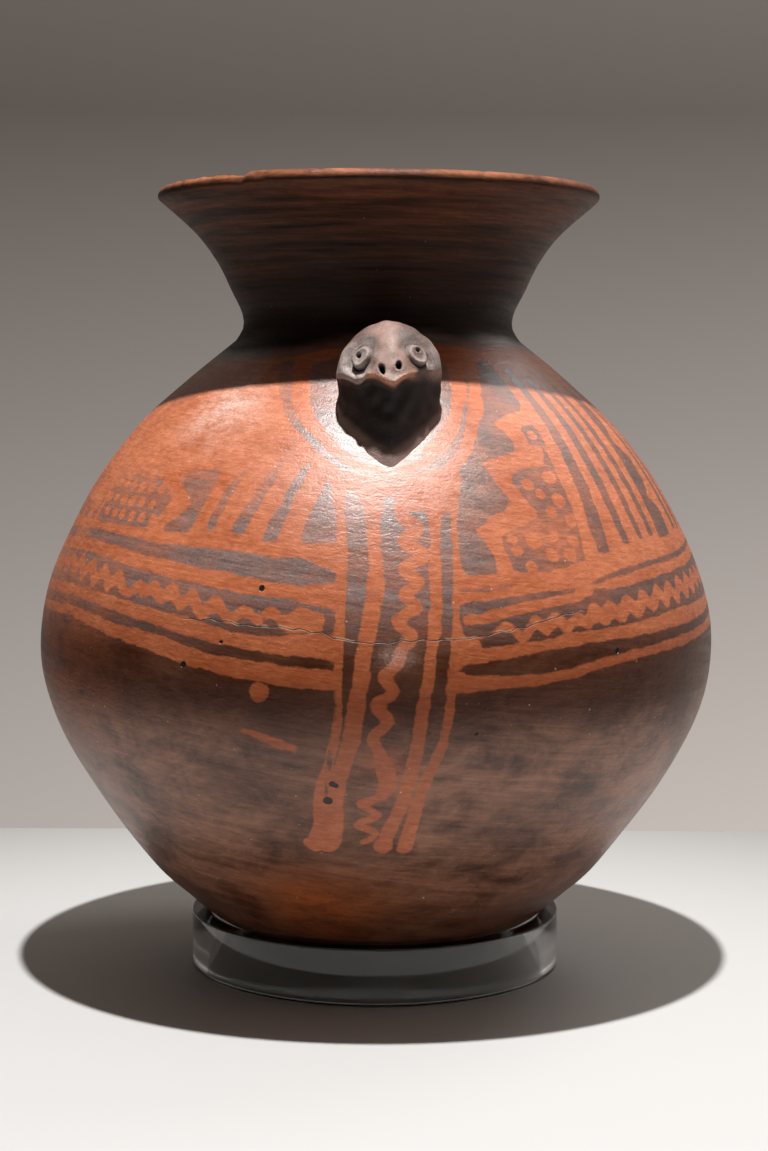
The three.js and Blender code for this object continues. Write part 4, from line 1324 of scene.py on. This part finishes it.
@dataclass(frozen=True)
class WornDarkSlip:
    """The head's smoked slip, rubbed by handling to a greyish pink where it stands proud, with painted
    highlights and painted shade in its colours.
    """

    worn: str = "8A6657"
    side: str = "5A463E"
    # pale colour of the rubbed raised parts and of the painted highlights
    pale: str = "BCACA6"
    # the throat's colour: dark slip, made darker still as painted shade under the beak
    throat: str = "180D09"
    fringe: str = "846A60"
    # near-black painted shade for the eye trenches, pupils, nostrils and brow hollows
    hole: str = "0C0705"
    clay: str = "DE9A72"
    roughness: float = 0.42
    ior: float = 1.5

    def make(self) -> bpy.types.Material:
        """Builds the material.

        Returns:
            The material, reading the features stored on the head.
        """
        material, g = new_graph("worn_dark_slip")
        place = g.add("TexCoord", out="Object")
        mm = g.add("VectorMath", place, Scale=1000.0, operation="SCALE")
        blotch = g.add("TexNoise", Vector=mm, Scale=0.16, Detail=5.0, Roughness=0.6)
        grain = g.add("TexNoise", Vector=mm, Scale=1.8, Detail=4.0, Roughness=0.75)
        marks, tone = g.stored("features"), g.stored("tone")
        patchy = g.add("MapRange", blotch, 0.36, 0.64, -0.35, 0.35)
        bridge = g.add("Math", tone["X"], patchy, operation="ADD", use_clamp=True)
        slip = g.add("MixRGB", bridge, srgb(self.side), srgb(self.worn))
        pale_and_highlight = g.add("MapRange", grain, 0.35, 0.7, 0.35)
        pale_and_highlight = g.add("Math", pale_and_highlight, tone["Z"], operation="MULTIPLY")
        slip = g.add("MixRGB", g.add("MapRange", grain, 0.5, 0.75, 0.0, 0.5), slip, srgb(self.pale))
        # laid on in turn: the pale rubbed parts with their painted highlights, the throat's painted shade,
        # the fringe at the foot
        layers = ((pale_and_highlight, self.pale), (marks["Z"], self.throat), (tone["Y"], self.fringe))
        for share, colour in layers:
            slip = g.add("MixRGB", share, slip, srgb(colour))
        edge = g.add("Math", marks["Y"], g.add("MapRange", grain, 0.35, 0.6), operation="MULTIPLY")
        # the worn clay of the beak edge, then the painted shade of the holes and trenches
        for share, colour in ((edge, self.clay), (marks["X"], self.hole)):
            slip = g.add("MixRGB", share, slip, srgb(colour))
        rough = g.add("MapRange", blotch, 0.3, 0.7, self.roughness - 0.08, self.roughness + 0.15)
        relief = g.add("Math", grain, 0.26, operation="MULTIPLY")
        relief = g.add("Math", blotch, 0.3, relief, operation="MULTIPLY_ADD")
        bump = g.add("Bump", Strength=1.0, Distance=0.001, Height=relief)
        shader = g.add("BsdfPrincipled", Base_Color=slip, Roughness=rough, IOR=self.ior, Normal=bump)
        g.add("OutputMaterial", shader, out="node")
        return material


# The stand


@dataclass
class DisplayRing:
    """A short slice of clear tube with polished, slightly eased edges."""

    radius: float = 63.5
    wall: float = 6.2
    height: float = 19.0
    ease: float = 0.5
    steps: int = 192

    def build(self) -> bpy.types.Object:
        """Turns the ring from its rounded section."""
        inner, outer, top, ease = self.radius - self.wall, self.radius, self.height, self.ease
        right, left, upper = outer - ease, inner + ease, top - ease
        corners = ((right, ease, -90), (right, upper, 0), (left, upper, 90), (left, ease, 180))
        section: List[Tuple[float, float]] = []
        for x, z, start in corners:
            for step in range(6):
                bend = math.radians(start + step * 18)
                section.append((x + ease * math.cos(bend), z + ease * math.sin(bend)))
        section.append(section[0])
        return turned_piece("clear_ring", np.array(section), self.steps)


@dataclass(frozen=True)
class ClearAcrylic:
    """Cast acrylic tube, polished: water-clear, with a faint grey in its thickness."""

    tint: str = "F4F7F7"
    ior: float = 1.49
    roughness: float = 0.03

    def make(self) -> bpy.types.Material:
        """Builds the material."""
        material, g = new_graph("clear_acrylic")
        place = g.add("TexCoord", out="Object")
        haze = g.add("TexNoise", Vector=place, Scale=60.0, Detail=3.0)
        rough = g.add("MapRange", haze, 0.35, 0.75, self.roughness, self.roughness + 0.07)
        shader = g.add(
            "BsdfPrincipled",
            Base_Color=srgb(self.tint),
            Roughness=rough,
            IOR=self.ior,
            Transmission_Weight=1.0,
        )
        g.add("OutputMaterial", shader, out="node")
        return material


# The studio


@dataclass
class Studio:
    """Plain pale floor, soft light from above, and the camera at the photograph's angle."""

    lens: float = 68.43
    distance: float = 753.0
    eye_height: float = 195.1
    pitch: float = 4.62
    roll: float = 0.31
    yaw: float = -0.194
    floor_back: float = 228.0

    def camera(self) -> None:
        """Sets up the camera."""
        data = bpy.data.cameras.new("camera")
        data.sensor_fit = "VERTICAL"
        data.sensor_height = 36.0
        data.lens = self.lens
        data.clip_start = 0.01
        camera = bpy.data.objects.new("camera", data)
        bpy.context.scene.collection.objects.link(camera)
        camera.matrix_world = (
            Matrix.Translation(Vector((0, -self.distance * MM, self.eye_height * MM)))
            @ Matrix.Rotation(math.radians(self.yaw), 4, "Z")
            @ Matrix.Rotation(math.radians(90 - self.pitch), 4, "X")
            @ Matrix.Rotation(math.radians(self.roll), 4, "Z")
        )
        bpy.context.scene.camera = camera

    def floor(self) -> None:
        """Lays the pale slab that the stand rests on."""
        start_clean()
        depth = 1.4
        bpy.ops.mesh.primitive_cube_add(size=1.0, location=(0, self.floor_back * MM - depth / 2, -0.015))
        slab = bpy.context.active_object
        slab.name = "floor"
        slab.scale = (2.6, depth, 0.03)
        bpy.ops.object.transform_apply(location=True, rotation=False, scale=True)
        material, g = new_graph("pale_floor")
        shader = g.add("BsdfPrincipled", Base_Color=srgb("BEBDBB"), Roughness=0.6)
        g.add("OutputMaterial", shader, out="node")
        slab.data.materials.append(material)

    def lights(self) -> None:
        """Hangs the lights and sets the room's own glow, brighter low down than overhead."""
        for name, place, aim, size, power, cone in (
            ("key", (0.01, -0.238, 1.35), (0.0, -0.16, 0.0), 0.02, 116.0, 50.0),
            ("fill", (0.75, 0.6, 1.2), (0.05, 0.0, 0.05), 0.3, 15.0, 60.0),
        ):
            data = bpy.data.lights.new(name, "SPOT")
            data.shadow_soft_size = size
            data.spot_size = math.radians(cone)
            data.spot_blend = 1.0
            data.energy = power
            lamp = bpy.data.objects.new(name, data)
            bpy.context.scene.collection.objects.link(lamp)
            way = Vector(aim) - Vector(place)
            turned = way.to_track_quat("-Z", "Y").to_matrix().to_4x4()
            lamp.matrix_world = Matrix.Translation(Vector(place)) @ turned
        world = bpy.data.worlds.new("room")
        world.use_nodes = True
        world.node_tree.nodes.clear()
        g = Graph(world.node_tree)
        way = g.add("SeparateXYZ", g.add("TexCoord", out="Generated"), out="node")
        rise = g.add("MapRange", way.outputs["Z"], -0.19, 0.5)
        glow = g.add("ValToRGB", rise, out="node")
        stops = ((0.0, "BAB1AB"), (0.26, "8E8681"), (0.46, "625A55"), (1.0, "989089"))
        ramp = glow.color_ramp
        for place, code in stops[1:-1]:
            ramp.elements.new(place)
        for element, (place, code) in zip(sorted(ramp.elements, key=lambda e: e.position), stops):
            element.position = place
            element.color = srgb(code)
        # the room behind the camera is dark, and the wall is brighter to the right
        front = g.add("MapRange", way.outputs["Y"], -0.7, 0.1, 0.1, 1.0)
        aside = g.add("MapRange", way.outputs["X"], -1.0, 1.0, 0.3, 1.75)
        power = g.add("Math", front, aside, operation="MULTIPLY")
        glow_shader = g.add("Background", glow.outputs[0], power)
        g.add("OutputWorld", glow_shader, out="node")
        bpy.context.scene.world = world
        bpy.context.scene.view_settings.view_transform = "Standard"


def ready(piece: bpy.types.Object, material: bpy.types.Material, node: str) -> None:
    """Dresses a finished piece and ties it to the frame.

    Args:
        piece: The piece.
        material: Its finish.
        node: The solid that it stands for.
    """
    piece.data.materials.clear()
    piece.data.materials.append(material)
    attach(piece, "root")
    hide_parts(node)
    LOG.info("%s: %d faces", piece.name, len(piece.data.polygons))


def main() -> None:
    """Builds the bottle, its head, the stand and the studio."""
    logging.basicConfig(level=logging.INFO, format="%(name)s %(message)s")
    studio = Studio()
    studio.camera()
    vessel = Vessel()
    ready(vessel.build(), BurnishedSlip().make(), "vessel")
    ready(AnimalHead(vessel).build(), WornDarkSlip().make(), "vessel")
    ready(DisplayRing().build(), ClearAcrylic().make(), "display_ring")
    studio.floor()
    studio.lights()


if __name__ == "__main__":
    main()
